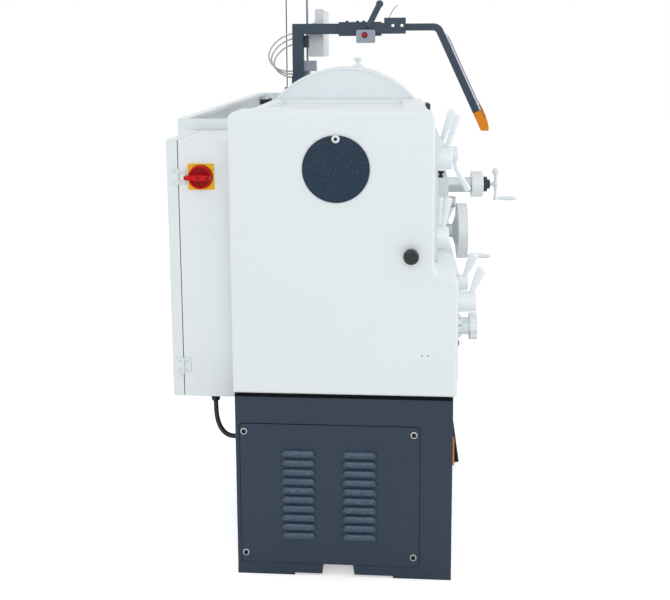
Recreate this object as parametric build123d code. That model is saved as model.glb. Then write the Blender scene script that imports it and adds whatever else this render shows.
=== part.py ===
# Universal metal lathe: 410 mm swing over the bed and about a metre between centres.
# +X runs from the headstock to the tailstock, -Y faces the operator and +Z is up.
# The origin lies on the floor, at the centre of the four anchor bolts. Millimetres.
import os
from math import cos, pi, radians, sin, sqrt, tan

from build123d import *

os.makedirs("parts", exist_ok=True)

# Clearances shared by all pieces
run_fit = 0.05          # radial play of a shaft in its bore
face_gap = 0.3          # play between faces that slide or turn past each other
slide_gap = 0.3         # play of a slide on its ways

# Main heights and stations along the bed
spindle_z = 1075.0
swing_radius = 205.0
near_x = -975.0         # outer face of the end cover
cover_depth = 110.0
head_gap = 5.0
head_length = 445.0
base_top = 494.0
bed_far_x = 920.0
way_z = spindle_z - swing_radius
cover_far_x = near_x + cover_depth
head_x0 = cover_far_x + head_gap
head_x1 = head_x0 + head_length

# Floor cabinets
sheet = 4.0
cabinet_near_x = -960.0
cabinet_front_y = -292.0
cabinet_rear_y = 264.0
tail_cabinet_x0 = 505.0
tail_cabinet_x1 = 935.0
tail_front_y = -250.0
tail_rear_y = 240.0
foot_length = 150.0
foot_width = 110.0
foot_thick = 12.0
skirt_rise = 6.0
notch_top = 76.0
notch_bottom = 86.0
notch_height = 33.0
anchor_x = 900.0
anchor_y = 210.0
anchor_hole_r = 9.0
panel_y = (-209.0, 252.0)
panel_z = (34.0, 414.0)
panel_thick = 2.0
panel_lip = 24.0
louvre_rows = 10
louvre_pitch = 23.5
louvre_first_z = 112.0
louvre_width = 88.0
louvre_height = 13.0
louvre_depth = 6.0
louvre_skin = 1.2
louvre_columns = (-55.5, 101.5)
cabinet_corner_r = 3.6

# Chip tray, bed and feed rods
tray_front_y = -300.0
tray_rear_y = 500.0
tray_far_x = 950.0
tray_wall = 62.0
tray_gap = 2.0
bed_half = 125.0
bed_web = 24.0
bed_setback = 2.0
bed_raise = 110.0
bed_raise_gap = 15.0
way_band = 70.0
vee_y = 105.0
vee_height = 10.0
flat_way = 34.0
rib_count = 7
rib_thick = 20.0
window_radius = 24.0
window_margin = 30.0        # web left between a rib and its window
rod_y = -215.0
lead_screw_z = 705.0
lead_screw_r = 15.0
feed_rod_z = 652.0
feed_rod_r = 10.0
rack_height = 22.0
rack_thick = 14.0
bracket_x = (860.0, 905.0)
bracket_front = 35.0
bracket_under = 30.0
bracket_over = 35.0

# Headstock casting and its tray
head_front_y = -252.0
head_rear_y = 232.0
head_top_z = 1213.0
panel_top_y = -232.0
panel_top_z = 1198.0
panel_low_y = -266.0
panel_low_z = 1123.0
panel_under_z = 1104.0
skirt_bottom_z = 812.0
skirt_length = 215.0
skirt_gap = 1.0
tool_tray_y = (-163.0, 193.0)
tool_tray_depth = 12.0
tool_tray_rim = 30.0
head_edge_r = 10.0
pad_zs = (900.0, 1060.0)   # mounting pads behind the headstock for the electrics cabinet
pad_height = 40.0

# End cover over the change gears
cover_wall = 4.0
cover_rear_y = 265.0
cover_front_y = -240.0
cover_step_y = -300.0
cover_step_z = 821.0
cover_step_low_z = 801.0
cover_top_z = 1213.0
cover_crown = 8.0
cover_bottom_z = 500.0
cover_corner_r = 22.0
cover_face_r = 10.0
cover_step_r = 16.0
bore_window_r = 62.0
disc_r = 82.5
disc_thick = 3.0
disc_pivot_drop = 8.5
disc_screw_r = 7.0
disc_screw_height = 4.0
disc_ring_r = 10.0
disc_ring_height = 1.5
disc_stem_r = 4.0
disc_socket_depth = 2.5
cover_knob_y = -183.0
cover_knob_z = 863.0
cover_knob_r = 19.0
cover_knob_height = 24.0
cover_knob_neck_r = 11.4
cover_knob_neck = 5.0
cover_knob_flare = 8.0
cover_knob_rounds = (0.5, 2.0, 2.0, 5.0)
cover_latch_r = 6.0
cover_latch_reach = 25.0
hinge_x = -880.0
hinge_y = 250.0
hinge_pin_r = 4.0
hinge_knuckle_r = 9.0
hinge_height = 40.0
hinge_zs = (905.0, 1130.0)
hinge_arm = 8.0
hinge_root = 30.0
hinge_tip = 6.0
hinge_strap = 6.0
hinge_play = 2.0
hinge_relief = 3.0

# Feed gearbox below the headstock
gearbox_front_y = -310.0
gearbox_back_y = -125.0
gearbox_bottom_z = 505.0
gearbox_shoulder_z = 789.0
gearbox_top_z = 806.0
gearbox_ledge_y = -258.0
hump_length = 230.0
hump_mid_y = -295.0
hump_mid_z = 831.0
hump_top_y = -288.0
hump_top_z = 866.0

# Spindle, chuck and drive
head_wall = 20.0
spindle_r = 40.0
spindle_bore_r = 26.0
spindle_rear = 30.0
bearing_r = 62.0
bearing_width = 32.0
bearing_boss_r = 84.0
nose_r = 70.0
nose_length = 18.0
chuck_r = 100.0
chuck_length = 85.0
chuck_round = 4.0
chuck_bore_r = 27.5
jaw_count = 3
jaw_width = 24.0
jaw_reach = 36.0
jaw_depth = 26.0
jaw_inner_r = 30.0
jaw_step_r = 52.0
jaw_outer_r = 92.0
jaw_slot_under = 4.0
key_socket_r = 6.0
key_socket_depth = 22.0
pulley_y = 110.0
pulley_z = 960.0
pulley_r = 95.0
pulley_width = 36.0
pulley_flange = 3.0
pulley_flange_rise = 7.0
pulley_near_x = -942.0
pulley_shaft_r = 14.0
belt_thick = 5.0
belt_side = 1.0
belt_slot_side = 6.0
belt_slot_end = 20.0
motor_z = 235.0
motor_pulley_r = 45.0
motor_r = 85.0
motor_length = 290.0
motor_bell = 40.0
motor_bell_taper = 12.0
motor_gap = 16.0
motor_mount_inset = 10.0
motor_foot = 16.0
motor_foot_half = 59.5
motor_foot_bite = 51.0
motor_mount_thick = 8.0
gear_module = 2.5
tooth_root = 1.3            # in modules, below the pitch circle
tooth_tip = 0.9             # in modules, above the pitch circle
tooth_foot_share = 0.25     # half a tooth at its root, in pitches
tooth_tip_share = 0.1       # half a tooth at its tip, in pitches
gear_width = 18.0
gear_x = -890.0
stud_gear_y = -110.0
stud_gear_z = 930.0
stud_teeth = 48
idler_teeth = 42
input_gear_y = -200.0
input_gear_z = 735.0
input_teeth = 40
gear_shaft_r = 9.0
gear_shaft_out = 8.0
idler_pin_out = 4.0
gear_arm_thick = 10.0
gear_arm_half = 24.0
gearbox_wall = 14.0

# Levers on the headstock and on the feed gearbox: place, hub, then grip ends as (y, z)
lever_shaft_r = 9.0
grip_end_round = 6.0
hub_taper = 2.0
hub_rounds = (1.0, 4.0)
speed_left = dict(
    x=-715.0, z=1070.0, hub_r=32.0, hub_end=-297.0, start=(-283.0, 1096.0), end=(-311.0, 1188.0)
)
speed_right = dict(
    x=-615.0, z=1072.0, hub_r=30.0, hub_end=-290.0, start=(-272.0, 1096.0), end=(-303.0, 1195.0)
)
thread_left = dict(x=-775.0, z=866.0, hub_r=30.0, hub_end=-286.0, start=(-271.0, 890.0), end=(-286.0, 973.0))
thread_right = dict(x=-679.0, z=850.0, hub_r=27.0, hub_end=-278.0, start=(-264.0, 872.0), end=(-267.0, 957.0))
feed_left = dict(x=-675.0, z=660.0, hub_r=30.0, hub_end=-372.0, start=(-356.0, 682.0), end=(-388.0, 756.0))
feed_right = dict(x=-475.0, z=659.0, hub_r=25.0, hub_end=-367.0, start=(-355.0, 678.0), end=(-385.0, 749.0))
lever_root_r = 6.5
lever_end_r = 10.5
turn_lever_x = -525.0
turn_lever_z = 1059.0
turn_hub_r = 24.0
turn_hub_end = -327.0
turn_knee_r = 6.5
turn_bend = ((-317.0, 1045.0), (-322.0, 1015.0), (-360.0, 950.0))

# Feed dial and star knob
knob_x = -625.0
knob_z = 573.0
dial_r = 38.0
dial_small_r = 29.0
dial_depth = 26.0
dial_rim = 12.0
star_hub_r = 25.0
star_r = 40.0
star_lobes = 8
star_lobe_r = 10.0
star_thick = 21.0
star_end_y = -379.0
plug_r = 8.0
plug_end_y = -331.0
plug_z = 521.0
plug_rounds = (0.5, 3.0)

# Electrics cabinet behind the headstock
elec_x = (-845.0, -575.0)
elec_y = (270.0, 421.0)
elec_z = (436.0, 1132.0)
elec_sheet = 2.0
door_gap = 2.0
door_y1 = 452.0
door_hinge_zs = (523.5, 1036.0)
door_hinge_height = 42.0
door_leaf = 20.0
door_leaf_thick = 3.5
door_pin_r = 2.2
door_knuckle_r = 4.0
door_knuckle_gap = 0.5
door_leaf_gap = 1.0
plate_inset = (20.0, 40.0)
plate_thick = 3.0
device_rows = ((560.0, 90.0), (700.0, 70.0), (840.0, 70.0), (980.0, 55.0))   # height and depth
device_columns = 3
device_first = 38.0
device_pitch = 68.0
device_width = 52.0
device_height = 84.0
switch_y = 361.0
switch_z = 1036.0
switch_plate = 68.0
switch_plate_thick = 4.0
switch_r = 32.0
switch_base = 12.0
switch_shaft_r = 6.0
switch_shaft_end = 8.0
switch_taper = 2.0
switch_bar_start = 28.0
switch_bar_end = 38.0
switch_bar_bite = 2.0
switch_bar_width = 15.0
switch_bar_tip = 10.0
switch_bar_height = 15.0
gland_x = -790.0
gland_y = 349.0
gland_r = 14.0
gland_z = 404.0
gland_nut = 14.0
gland_neck_r = 11.0
grommet_neck_r = 10.0
cable_r = 6.5
cable_route = [(349, 404), (349, 373), (345, 340), (332, 312), (311, 298), (292, 298)]

# Splash guard behind the bed
splash_x = (-565.0, 935.0)
splash_y = 491.0
splash_top_z = 1165.0
splash_sheet = 3.0
splash_flange = 30.0
splash_lip = 12.0
splash_end_y = 262.0
splash_end_rise = 10.0
splash_notch_gap = 2.0

# Chuck guard: a segment of a drum that swings up on a rod behind the headstock
guard_centre = (9.0, 1025.0)
guard_r = 285.0
guard_wall = 3.0
guard_x = (-412.0, -282.0)
guard_front_y = -236.0
guard_rear_y = 244.0
guard_floor_z = 1160.0
guard_pivot = (256.0, 1206.0)
guard_rod_r = 5.0
guard_lug_r = 10.0
guard_lug = 12.0
guard_lug_inset = 4.0
guard_lug_rise = 2.0
hinge_block_x = (30.0, 6.0)     # in from the headstock's far face
hinge_block_half = 8.0
guard_rod_out = 2.0
guard_knob_y = -28.0
guard_knob_base_r = 18.0
guard_knob_cap_r = 14.5
guard_knob_height = 32.0
guard_knob_sink = 2.0
guard_knob_base = 8.0
guard_knob_neck_r = 6.0
guard_knob_neck = (13.0, 18.0)
guard_knob_cap = 5.0
guard_grip_y = -252.0
guard_grip_z = (1167.0, 1197.0)
guard_grip_half = 30.0
guard_grip_edge = 4.0

# Carriage: saddle, apron and their handles
saddle_x = (-100.0, 300.0)
bridge_x = (20.0, 180.0)
bridge_front_y = -336.0
bridge_rear_y = 236.0
saddle_wing = 75.0
saddle_wing_y = 150.0
saddle_top_z = way_z + 35.0
wing_top_z = way_z + 28.0
overhang_z = way_z - 42.0
dovetail_x = 100.0
dovetail_half = 36.0
dovetail_flare = 9.0
dovetail_height = 20.0
dovetail_y = (-330.0, 182.0)
bridge_lap = 2.0
apron_x = (-60.0, 280.0)
apron_front_y = -325.0
apron_back_y = -142.0
apron_bottom_z = way_z - 280.0
apron_wall = 14.0
apron_corner_r = 10.0
wheel_x = 10.0
wheel_z = way_z - 153.0
wheel_r = 99.0
wheel_hub_r = 24.0
wheel_hub_depth = 33.0
wheel_rim_y = (-400.0, -366.0)
wheel_rim_depth = 14.0
wheel_web = 8.0
wheel_lip = 4.0
wheel_shaft_r = 11.0
handle_pitch_r = 88.0
handle_pin_r = 4.5
handle_bulge_r = 9.5
handle_length = 92.0
handle_shoulder = 2.0
handle_root_share = 1.3       # of the pin's radius
handle_tip_share = 0.6
handle_swell_at = 0.62        # of the length
wheel_handle_bore = 20.0
handle_bore_rest = 2.0
selector_x = 100.0
selector_z = way_z - 65.0
selector_r = 22.0
selector_end_y = -367.0
selector_taper = 1.0
selector_rounds = (1.0, 3.0)
half_nut = dict(x=225.0, z=700.0, hub_r=20.0, hub_end=-352.0, start=(-344.0, 712.0), end=(-366.0, 770.0))
cross_z = way_z + 2.0
cross_bracket_r = 26.0
cross_bracket_end_y = -422.0
cross_dial_r = 48.0
cross_dial_end_y = -464.0
cross_dial_rounds = (2.0, 4.0)
cross_ring_r = 27.5
cross_ring_neck_r = 17.0
cross_ring_end_y = -490.0
cross_ring_share = 0.6
cross_shaft_r = 8.0
cross_shaft_depth = 60.0
shaft_rest = 1.0
crank_y = -512.0
crank_ball_r = 12.0
crank_top_ball_r = 14.0
crank_arms = (47.0, 52.0)    # reach to the counterweight and to the handle
crank_arm_r = 6.5
crank_arm_taper = 1.0
crank_boss_r = 8.5
crank_bore = 40.0
crank_bulge_r = 8.5
crank_handle_length = 70.0
scale_x = (60.0, 73.7)
scale_z = (way_z - 22.0, way_z)
scale_end_y = -420.0
lock_x = 40.0
lock_y = -309.0
lock_stem_r = 5.0
lock_bar = 22.0
lock_height = 23.0
lock_depth = 15.0
lock_bar_r = 4.5
lock_bar_drop = 4.0
lock_collar_r = 8.0
lock_collar = 7.0

# Cross slide, top slide and tool post
cross_slide_x = (28.0, 172.0)
cross_slide_y = (-190.0, 100.0)
cross_slide_z1 = way_z + 75.0
swivel_r = 62.0
swivel_height = 12.0
top_slide_x = (-40.0, 180.0)
top_slide_y = -70.0
top_slide_half = 46.0
top_slide_z1 = way_z + 130.0
top_rail_half = 26.0
top_rail_height = 16.0
top_crank_reach = 62.0
top_rail_x = (8.0, 128.0)
top_crank_arms = (34.0, 36.0)
top_handle_length = 56.0
top_shaft_depth = 30.0
top_dial_r = 23.0
top_dial = 20.0
swivel_bite = 2.0
tool_post_x = 50.0
tool_post_half = 38.0
tool_post_z1 = way_z + 208.0
tool_slot_height = 26.0
tool_slot_depth = 14.0
tool_slot_drop = 16.0
post_bolt_r = 12.0
post_lever_reach = 78.0
post_lever_turn = (0.6, -0.8)
post_bolt_depth = 20.0
post_bolt_rise = 22.0
post_nut_r = 20.0
post_nut = 24.0
post_lever_z = (14.0, 40.0)

# Carriage guard frame, readout and their small pieces
frame_x = (80.0, 120.0)
post_y = (188.0, 227.0)
frame_top_z = 1455.0
beam_z0 = 1418.0
beam_end_y = -95.0
tube_wall = 3.0
sleeve_extra = 3.0
sleeve_top_z = 1268.0
sleeve_wall = 6.0
sleeve_floor = 8.0
lift_pivot = (-45.0, 1437.0)
lift_pin_r = 6.0
cheek_y = (-94.0, 59.0)
cheek_z0 = 1411.0
cheek_thick = 5.0
cheek_gap = 1.0
arm_plate = 5.0
arm_plate_r = 19.0
arm_plate_lap = 4.0
arm_start_lap = 2.0
clamp_y = (-181.0, -104.0)
clamp_z = (1418.0, 1474.0)
arm_tube = 25.0
arm_z = 1441.0
arm_bend = (-296.0, 1441.0)
arm_end = (-437.0, 1137.0)
arm_bend_r = 26.0
arm_pads = (60.0, 40.0)      # below the bend and above the end
arm_pad = 24.0
arm_pad_bite = 1.0
shield_width = 360.0        # from the near side of the arm to the far side
shield_gap = 4.0
shield_thick = 4.0
shield_drop = 3.5
shield_start = 30.0
handle_rise = 30.0
handle_slot = 26.0
handle_flange = 2.6
handle_nose = (64.0, 69.0, 81.0)
handle_nose_out = 9.5
lever_tip = (-88.0, 1522.0)
lever_width = 21.0
lever_eye_r = 13.0
lever_foot_r = 12.5
lever_thick = 7.0
switch_box_x = (28.0, 60.0)
switch_box_y = (-73.0, -6.0)
switch_box_z = (1385.0, 1431.0)
switch_box_r = 6.0
switch_tab_inset = 12.0
switch_tab = 8.0
switch_tab_bite = 1.0
readout_x = (130.0, 400.0)
readout_y = (119.0, 172.0)
readout_z = (1337.0, 1509.0)
readout_neck_y = 149.0
readout_neck_z = 1463.0
readout_shoulder = 10.0
readout_edge_r = 5.0
readout_bracket_lap = (10.0, 22.0)
readout_bracket_z = (1370.0, 1414.0)
clip_x = (123.0, 188.0)
clip_y = (170.0, 227.0)
clip_z = (1248.0, 1294.0)
post_clip = (20.0, 46.0)      # width on the post and reach in front of it
post_clip_z = (1285.0, 1323.0)
lead_first = 28.0
lead_r = 3.0
rear_rod_r = 4.0
rear_rod = (145.0, 179.0)
rear_rod_top = 1562.0
far_rod_r = 2.5
far_rod_y = 354.0
far_rod_top = 1590.0
far_foot_r = 11.0
far_foot_height = 26.0
lead_shift = 9.0

# Tailstock
tail_x = (640.0, 880.0)
tail_base_half = 120.0
tail_base_z1 = way_z + 60.0
tail_base_edge = 14.0
tail_body_x = (655.0, 860.0)
tail_body_half = 72.0
tail_neck_half = 46.0
quill_house_r = 58.0
quill_house_wall = 14.0
tail_screw_r = 12.0
tail_screw_gap = 1.0
tail_screw_length = 140.0
quill_r = 30.0
quill_tip_x = 600.0
centre_length = 40.0
centre_r = 16.0
centre_collar = 10.0
centre_stem_r = 9.0
centre_stem = 58.0
centre_bore = 60.0
quill_end_gap = 40.0
quill_hollow = 160.0
tail_wheel_r = 80.0
tail_wheel_hub_r = 22.0
tail_rim = 14.0
tail_lip = 4.0
tail_web = 12.0
tail_hub_taper = 4.0
tail_hub_x = (14.0, 26.0)
tail_wheel_x = (880.0, 902.0)
tail_hub_reach = 46.0
tail_handle_length = 66.0
tail_handle_bore = 17.0
quill_lock_x = 700.0
lock_floor = 8.0
lock_stem_rise = 24.0
lock_hub_r = 14.0
lock_hub = 22.0
lock_grip_y = -64.0
lock_grip_z = (12.0, 44.0)
tail_clamp_x = 820.0
tail_clamp_rise = 40.0
clamp_stem_r = 7.0
clamp_depth = 40.0
clamp_hub_r = 16.0
clamp_hub = 24.0
clamp_grip_y = (14.0, 44.0)
clamp_grip_rise = 120.0
stem_rest = 2.0

# Foot brake between the cabinets
brake_x = (-375.0, 465.0)
brake_pivot = (-225.0, 210.0)
brake_shaft_r = 10.0
brake_top = (-333.0, 189.0)
brake_low = (-355.0, 32.0)
brake_thick = 4.0
brake_fold = 26.0
brake_arm = 8.0
brake_arm_half = 16.0
brake_arm_inset = 60.0
brake_hub_r = 20.0
brake_toe = 6.0
brake_arm_foot = (8.0, 70.0)


def block(x, y, z):
    # Box between two stations on each axis
    centre = Pos((x[0] + x[1]) / 2, (y[0] + y[1]) / 2, (z[0] + z[1]) / 2)
    return centre * Box(x[1] - x[0], y[1] - y[0], z[1] - z[0])


def along_x(outline, x):
    # Prism of a (y, z) outline
    face = Plane.YZ.offset(x[0]) * Polygon(*outline, align=None)
    return extrude(face, x[1] - x[0], dir=(1, 0, 0))


def along_y(outline, y):
    # Prism of an (x, z) outline
    face = Plane.XZ.offset(-y[1]) * Polygon(*outline, align=None)
    return extrude(face, y[1] - y[0], dir=(0, -1, 0))


def along_z(outline, z):
    # Prism of an (x, y) outline
    face = Plane.XY.offset(z[0]) * Polygon(*outline, align=None)
    return extrude(face, z[1] - z[0], dir=(0, 0, 1))


def rod_x(radius, x, y, z):
    return Pos((x[0] + x[1]) / 2, y, z) * Rot(0, 90, 0) * Cylinder(radius, x[1] - x[0])


def rod_on_y(radius, x, y, z):
    return Pos(x, (y[0] + y[1]) / 2, z) * Rot(90, 0, 0) * Cylinder(radius, y[1] - y[0])


def rod_z(radius, x, y, z):
    return Pos(x, y, (z[0] + z[1]) / 2) * Cylinder(radius, z[1] - z[0])


def turned(profile, seat, direction, rounds=None):
    # Body of revolution: (radius, distance) points from axis to axis, with rounded corners
    if rounds:
        edge = FilletPolyline(*profile, radius=rounds)
    else:
        edge = Polyline(*profile)
    face = make_face(edge + Line(profile[-1], profile[0]))
    return Plane(seat, z_dir=direction) * revolve(Plane.XZ * face, Axis.Z)


def grip(start, end, root_r, end_r, round_r):
    # Tapered lever grip with a rounded end
    reach = Vector(end) - Vector(start)
    profile = [(0, 0), (root_r, 0), (end_r, reach.length), (0, reach.length)]
    edge = FilletPolyline(*profile[1:], radius=[round_r])
    face = make_face(edge + Polyline(profile[3], profile[0], profile[1]))
    return Plane(start, z_dir=reach) * revolve(Plane.XZ * face, Axis.Z)


def save(node, solids):
    # One file for each sub-part, holding its separate solids
    pieces = [piece for group in solids for piece in group.solids()]
    export_step(pieces[0] if len(pieces) == 1 else Compound(children=pieces), f"parts/{node}.step")


# Head cabinet: folded sheet on four foot plates, open at its near end behind the louvre panel
def cabinet_shell(x, y, top, window):
    outer = block(x, y, (skirt_rise, top))
    inner = block(
        (x[0] + sheet, x[1] - sheet), (y[0] + sheet, y[1] - sheet), (skirt_rise - 1, top - sheet)
    )
    shell = outer - inner
    outer_edges = [
        edge for edge in shell.edges().filter_by(Axis.Z)
        if min(abs(edge.center().X - x[0]), abs(edge.center().X - x[1])) < sheet / 2
        and min(abs(edge.center().Y - y[0]), abs(edge.center().Y - y[1])) < sheet / 2
    ]
    shell = fillet(outer_edges, cabinet_corner_r)
    if window:
        shell -= window
    for foot_x in ((x[0], x[0] + foot_width), (x[1] - foot_width, x[1])):
        for foot_y in ((y[0], y[0] + foot_length), (y[1] - foot_length, y[1])):
            shell += block(foot_x, foot_y, (0, foot_thick))
    return shell


def anchor_holes(x):
    return [rod_z(anchor_hole_r, x, y, (-1, foot_thick + 1)) for y in (-anchor_y, anchor_y)]


panel_x = (cabinet_near_x - panel_thick, cabinet_near_x)
notch = along_x(
    [
        (-notch_bottom / 2, 0), (notch_bottom / 2, 0),
        (notch_top / 2, notch_height), (-notch_top / 2, notch_height),
    ],
    (cabinet_near_x - 1, cabinet_near_x + sheet + 1),
)
panel_window = block(
    (cabinet_near_x - 1, cabinet_near_x + sheet + 1),
    (panel_y[0] + panel_lip, panel_y[1] - panel_lip),
    (panel_z[0] + panel_lip, panel_z[1] - panel_lip),
)
head_cabinet = cabinet_shell(
    (cabinet_near_x, head_x1), (cabinet_front_y, cabinet_rear_y), base_top, panel_window + notch
)
for hole in anchor_holes(-anchor_x):
    head_cabinet -= hole
tail_cabinet = cabinet_shell(
    (tail_cabinet_x0, tail_cabinet_x1), (tail_front_y, tail_rear_y), base_top - sheet, None
)
for hole in anchor_holes(anchor_x):
    tail_cabinet -= hole

# Louvre panel: flat sheet with two columns of pressed hoods over slots
louvre_panel = block(panel_x, panel_y, panel_z)
for column_y in louvre_columns:
    ends = (column_y - louvre_width / 2, column_y + louvre_width / 2)
    inner_ends = (ends[0] + louvre_skin, ends[1] - louvre_skin)
    for row in range(louvre_rows):
        low = louvre_first_z + row * louvre_pitch
        high = low + louvre_height
        face_x = panel_x[0]
        hood = along_y([(face_x, high), (face_x - louvre_depth, low), (face_x, low)], ends)
        hollow = along_y(
            [
                (panel_x[1] + 1, high - 2 * louvre_skin), (face_x, high - 2 * louvre_skin),
                (face_x - louvre_depth + louvre_skin, low - 1), (panel_x[1] + 1, low - 1),
            ],
            inner_ends,
        )
        louvre_panel = louvre_panel + hood - hollow

# Chip tray: shallow pan from the head cabinet to the far end
tray_x = (head_x1 + tray_gap, tray_far_x)
chip_tray = block(tray_x, (tray_front_y, tray_rear_y), (base_top - sheet, base_top + tray_wall))
chip_tray -= block(
    (tray_x[0] + sheet, tray_x[1] - sheet),
    (tray_front_y + sheet, tray_rear_y - sheet),
    (base_top, base_top + tray_wall + 1),
)

# Bed: two webs joined by ribs, with a vee way in front and a flat way behind
def vee(extra):
    rise = vee_height + extra
    return [(-vee_y - rise, way_z - extra), (-vee_y + rise, way_z - extra), (-vee_y, way_z + rise)]


bed_x = (head_x0 + bed_setback, bed_far_x)
bed_raise_x = (head_x1, tail_cabinet_x0 - bed_raise_gap)
bed_floor_z = base_top + bed_raise
bed = block(bed_x, (-bed_half, bed_half), (base_top, way_z))
bed -= block(
    (bed_x[0] + bed_web, bed_x[1] - bed_web), (-bed_half + bed_web, bed_half - bed_web),
    (base_top - 1, way_z - way_band),
)
bed -= block(
    (head_x1 + bed_web, bed_x[1] - bed_web), (-bed_half + bed_web + flat_way, bed_half - bed_web - flat_way),
    (way_z - way_band - 1, way_z + 1),
)
bed -= block(bed_raise_x, (-bed_half - 1, bed_half + 1), (base_top - 1, bed_floor_z))
rib_step = (bed_raise_x[1] - bed_raise_x[0]) / (rib_count - 1)
window_z = (bed_floor_z + way_z - way_band) / 2
window_height = way_z - way_band - bed_floor_z - 2 * bed_web
for index in range(rib_count):
    rib_x = bed_raise_x[0] + index * rib_step
    bed += block(
        (rib_x - rib_thick / 2, rib_x + rib_thick / 2), (-bed_half + bed_web, bed_half - bed_web),
        (bed_floor_z, way_z - way_band),
    )
    if index < rib_count - 1:
        middle_x = rib_x + rib_step / 2
        opening = Plane.XZ.offset(-bed_half - 1) * RectangleRounded(
            rib_step - 2 * window_margin, window_height, window_radius
        )
        bed -= Pos(middle_x, 0, window_z) * extrude(opening, bed_web + 2)
bed += along_x(vee(0), bed_x)

# Rack under the front way, where the carriage pinion runs
rack = block(
    (head_x1 + bed_web, bed_far_x - bed_web), (-bed_half - rack_thick, -bed_half),
    (way_z - way_band - rack_height, way_z - way_band),
)

# Headstock: hollow casting open at its foot, with a sloping front panel and a tool tray on top
head_outline = [
    (head_rear_y, way_z), (head_rear_y, head_top_z), (panel_top_y + head_edge_r, head_top_z),
    (panel_top_y, panel_top_z), (panel_low_y, panel_low_z), (head_front_y, panel_under_z),
    (head_front_y, way_z),
]
head_x = (head_x0, head_x1)
headstock = along_x(head_outline, head_x)
rear_edge = headstock.edges().filter_by(Axis.X).sort_by_distance((0, head_rear_y, head_top_z))[0]
headstock = fillet(rear_edge, head_edge_r)
cavity = block(
    (head_x0 + head_wall, head_x1 - head_wall),
    (head_front_y + head_wall, head_rear_y - head_wall),
    (way_z - 1, head_top_z - tool_tray_depth - head_wall),
)
for boss_x in ((head_x0, head_x0 + bearing_width), (head_x1 - bearing_width, head_x1)):
    cavity -= rod_x(bearing_boss_r, boss_x, 0, spindle_z)
headstock -= cavity
headstock -= block(
    (head_x0 + tool_tray_rim, head_x1 - tool_tray_rim), tool_tray_y,
    (head_top_z - tool_tray_depth, head_top_z + 1),
)
skirt_x = (head_x0, head_x0 + skirt_length)
headstock += block(skirt_x, (head_front_y, -bed_half - skirt_gap), (skirt_bottom_z, way_z))
headstock -= rod_x(bearing_r + run_fit, (head_x0 - 1, head_x0 + bearing_width), 0, spindle_z)
headstock -= rod_x(bearing_r + run_fit, (head_x1 - bearing_width, head_x1 + 1), 0, spindle_z)
headstock -= along_x(vee(slide_gap), (head_x0 - 1, head_x1 + 1))
headstock -= rod_x(pulley_shaft_r + run_fit, (head_x0 - 1, head_x0 + head_wall + 1), pulley_y, pulley_z)
headstock -= rod_x(
    gear_shaft_r + run_fit, (head_x0 - 1, head_x0 + head_wall + 1), stud_gear_y, stud_gear_z
)

# Spindle bearings, hollow spindle with its nose, and the three-jaw chuck
spindle_bearings = []
for bearing_x in ((head_x0, head_x0 + bearing_width), (head_x1 - bearing_width, head_x1)):
    ring = rod_x(bearing_r, bearing_x, 0, spindle_z) - rod_x(spindle_r + run_fit, bearing_x, 0, spindle_z)
    spindle_bearings.append(ring)
chuck_x0 = head_x1 + face_gap + nose_length
chuck_x1 = chuck_x0 + chuck_length
spindle = rod_x(spindle_r, (head_x0 - spindle_rear, head_x1 + 1), 0, spindle_z)
spindle += rod_x(nose_r, (head_x1 + face_gap, chuck_x0), 0, spindle_z)
spindle -= rod_x(spindle_bore_r, (head_x0 - spindle_rear - 1, chuck_x0 + 1), 0, spindle_z)
chuck = turned(
    [(0, 0), (chuck_r, 0), (chuck_r, chuck_length), (0, chuck_length)],
    (chuck_x0, 0, spindle_z), (1, 0, 0), rounds=[chuck_round, chuck_round],
)
chuck -= rod_x(chuck_bore_r, (chuck_x0 - 1, chuck_x1 + 1), 0, spindle_z)
jaws = []
key_hole_z = (spindle_z - chuck_r - 1, spindle_z - chuck_r + key_socket_depth)
jaw_slot_z = (spindle_z + chuck_bore_r - jaw_slot_under, spindle_z + chuck_r + 1)
for index in range(jaw_count):
    turn = Pos(0, 0, spindle_z) * Rot(index * 360 / jaw_count, 0, 0) * Pos(0, 0, -spindle_z)
    slot = block(
        (chuck_x1 - jaw_depth, chuck_x1 + 1),
        (-jaw_width / 2 - slide_gap, jaw_width / 2 + slide_gap), jaw_slot_z,
    )
    chuck -= turn * slot
    key_hole = rod_z(key_socket_r, chuck_x0 + jaw_depth, 0, key_hole_z)
    chuck -= turn * key_hole
    jaw = along_y(
        [
            (chuck_x1 - jaw_depth + slide_gap, spindle_z + jaw_inner_r),
            (chuck_x1 + jaw_reach, spindle_z + jaw_inner_r),
            (chuck_x1 + jaw_reach, spindle_z + jaw_step_r),
            (chuck_x1 + jaw_reach / 2, spindle_z + jaw_step_r),
            (chuck_x1 + jaw_reach / 2, spindle_z + (jaw_step_r + jaw_outer_r) / 2),
            (chuck_x1 + face_gap, spindle_z + jaw_outer_r),
            (chuck_x1 - jaw_depth + slide_gap, spindle_z + jaw_outer_r),
        ],
        (-jaw_width / 2, jaw_width / 2),
    )
    jaws.append(turn * jaw)

# Drive: motor in the head cabinet, flat ribbed belt and two pulleys
def pulley(radius, seat, shaft_length):
    rim = radius + pulley_flange_rise
    profile = [
        (0, 0), (rim, 0), (rim, pulley_flange), (radius, pulley_flange),
        (radius, pulley_width - pulley_flange), (rim, pulley_width - pulley_flange),
        (rim, pulley_width), (pulley_shaft_r, pulley_width), (pulley_shaft_r, shaft_length),
        (0, shaft_length),
    ]
    return turned(profile, seat, (1, 0, 0))


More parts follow.
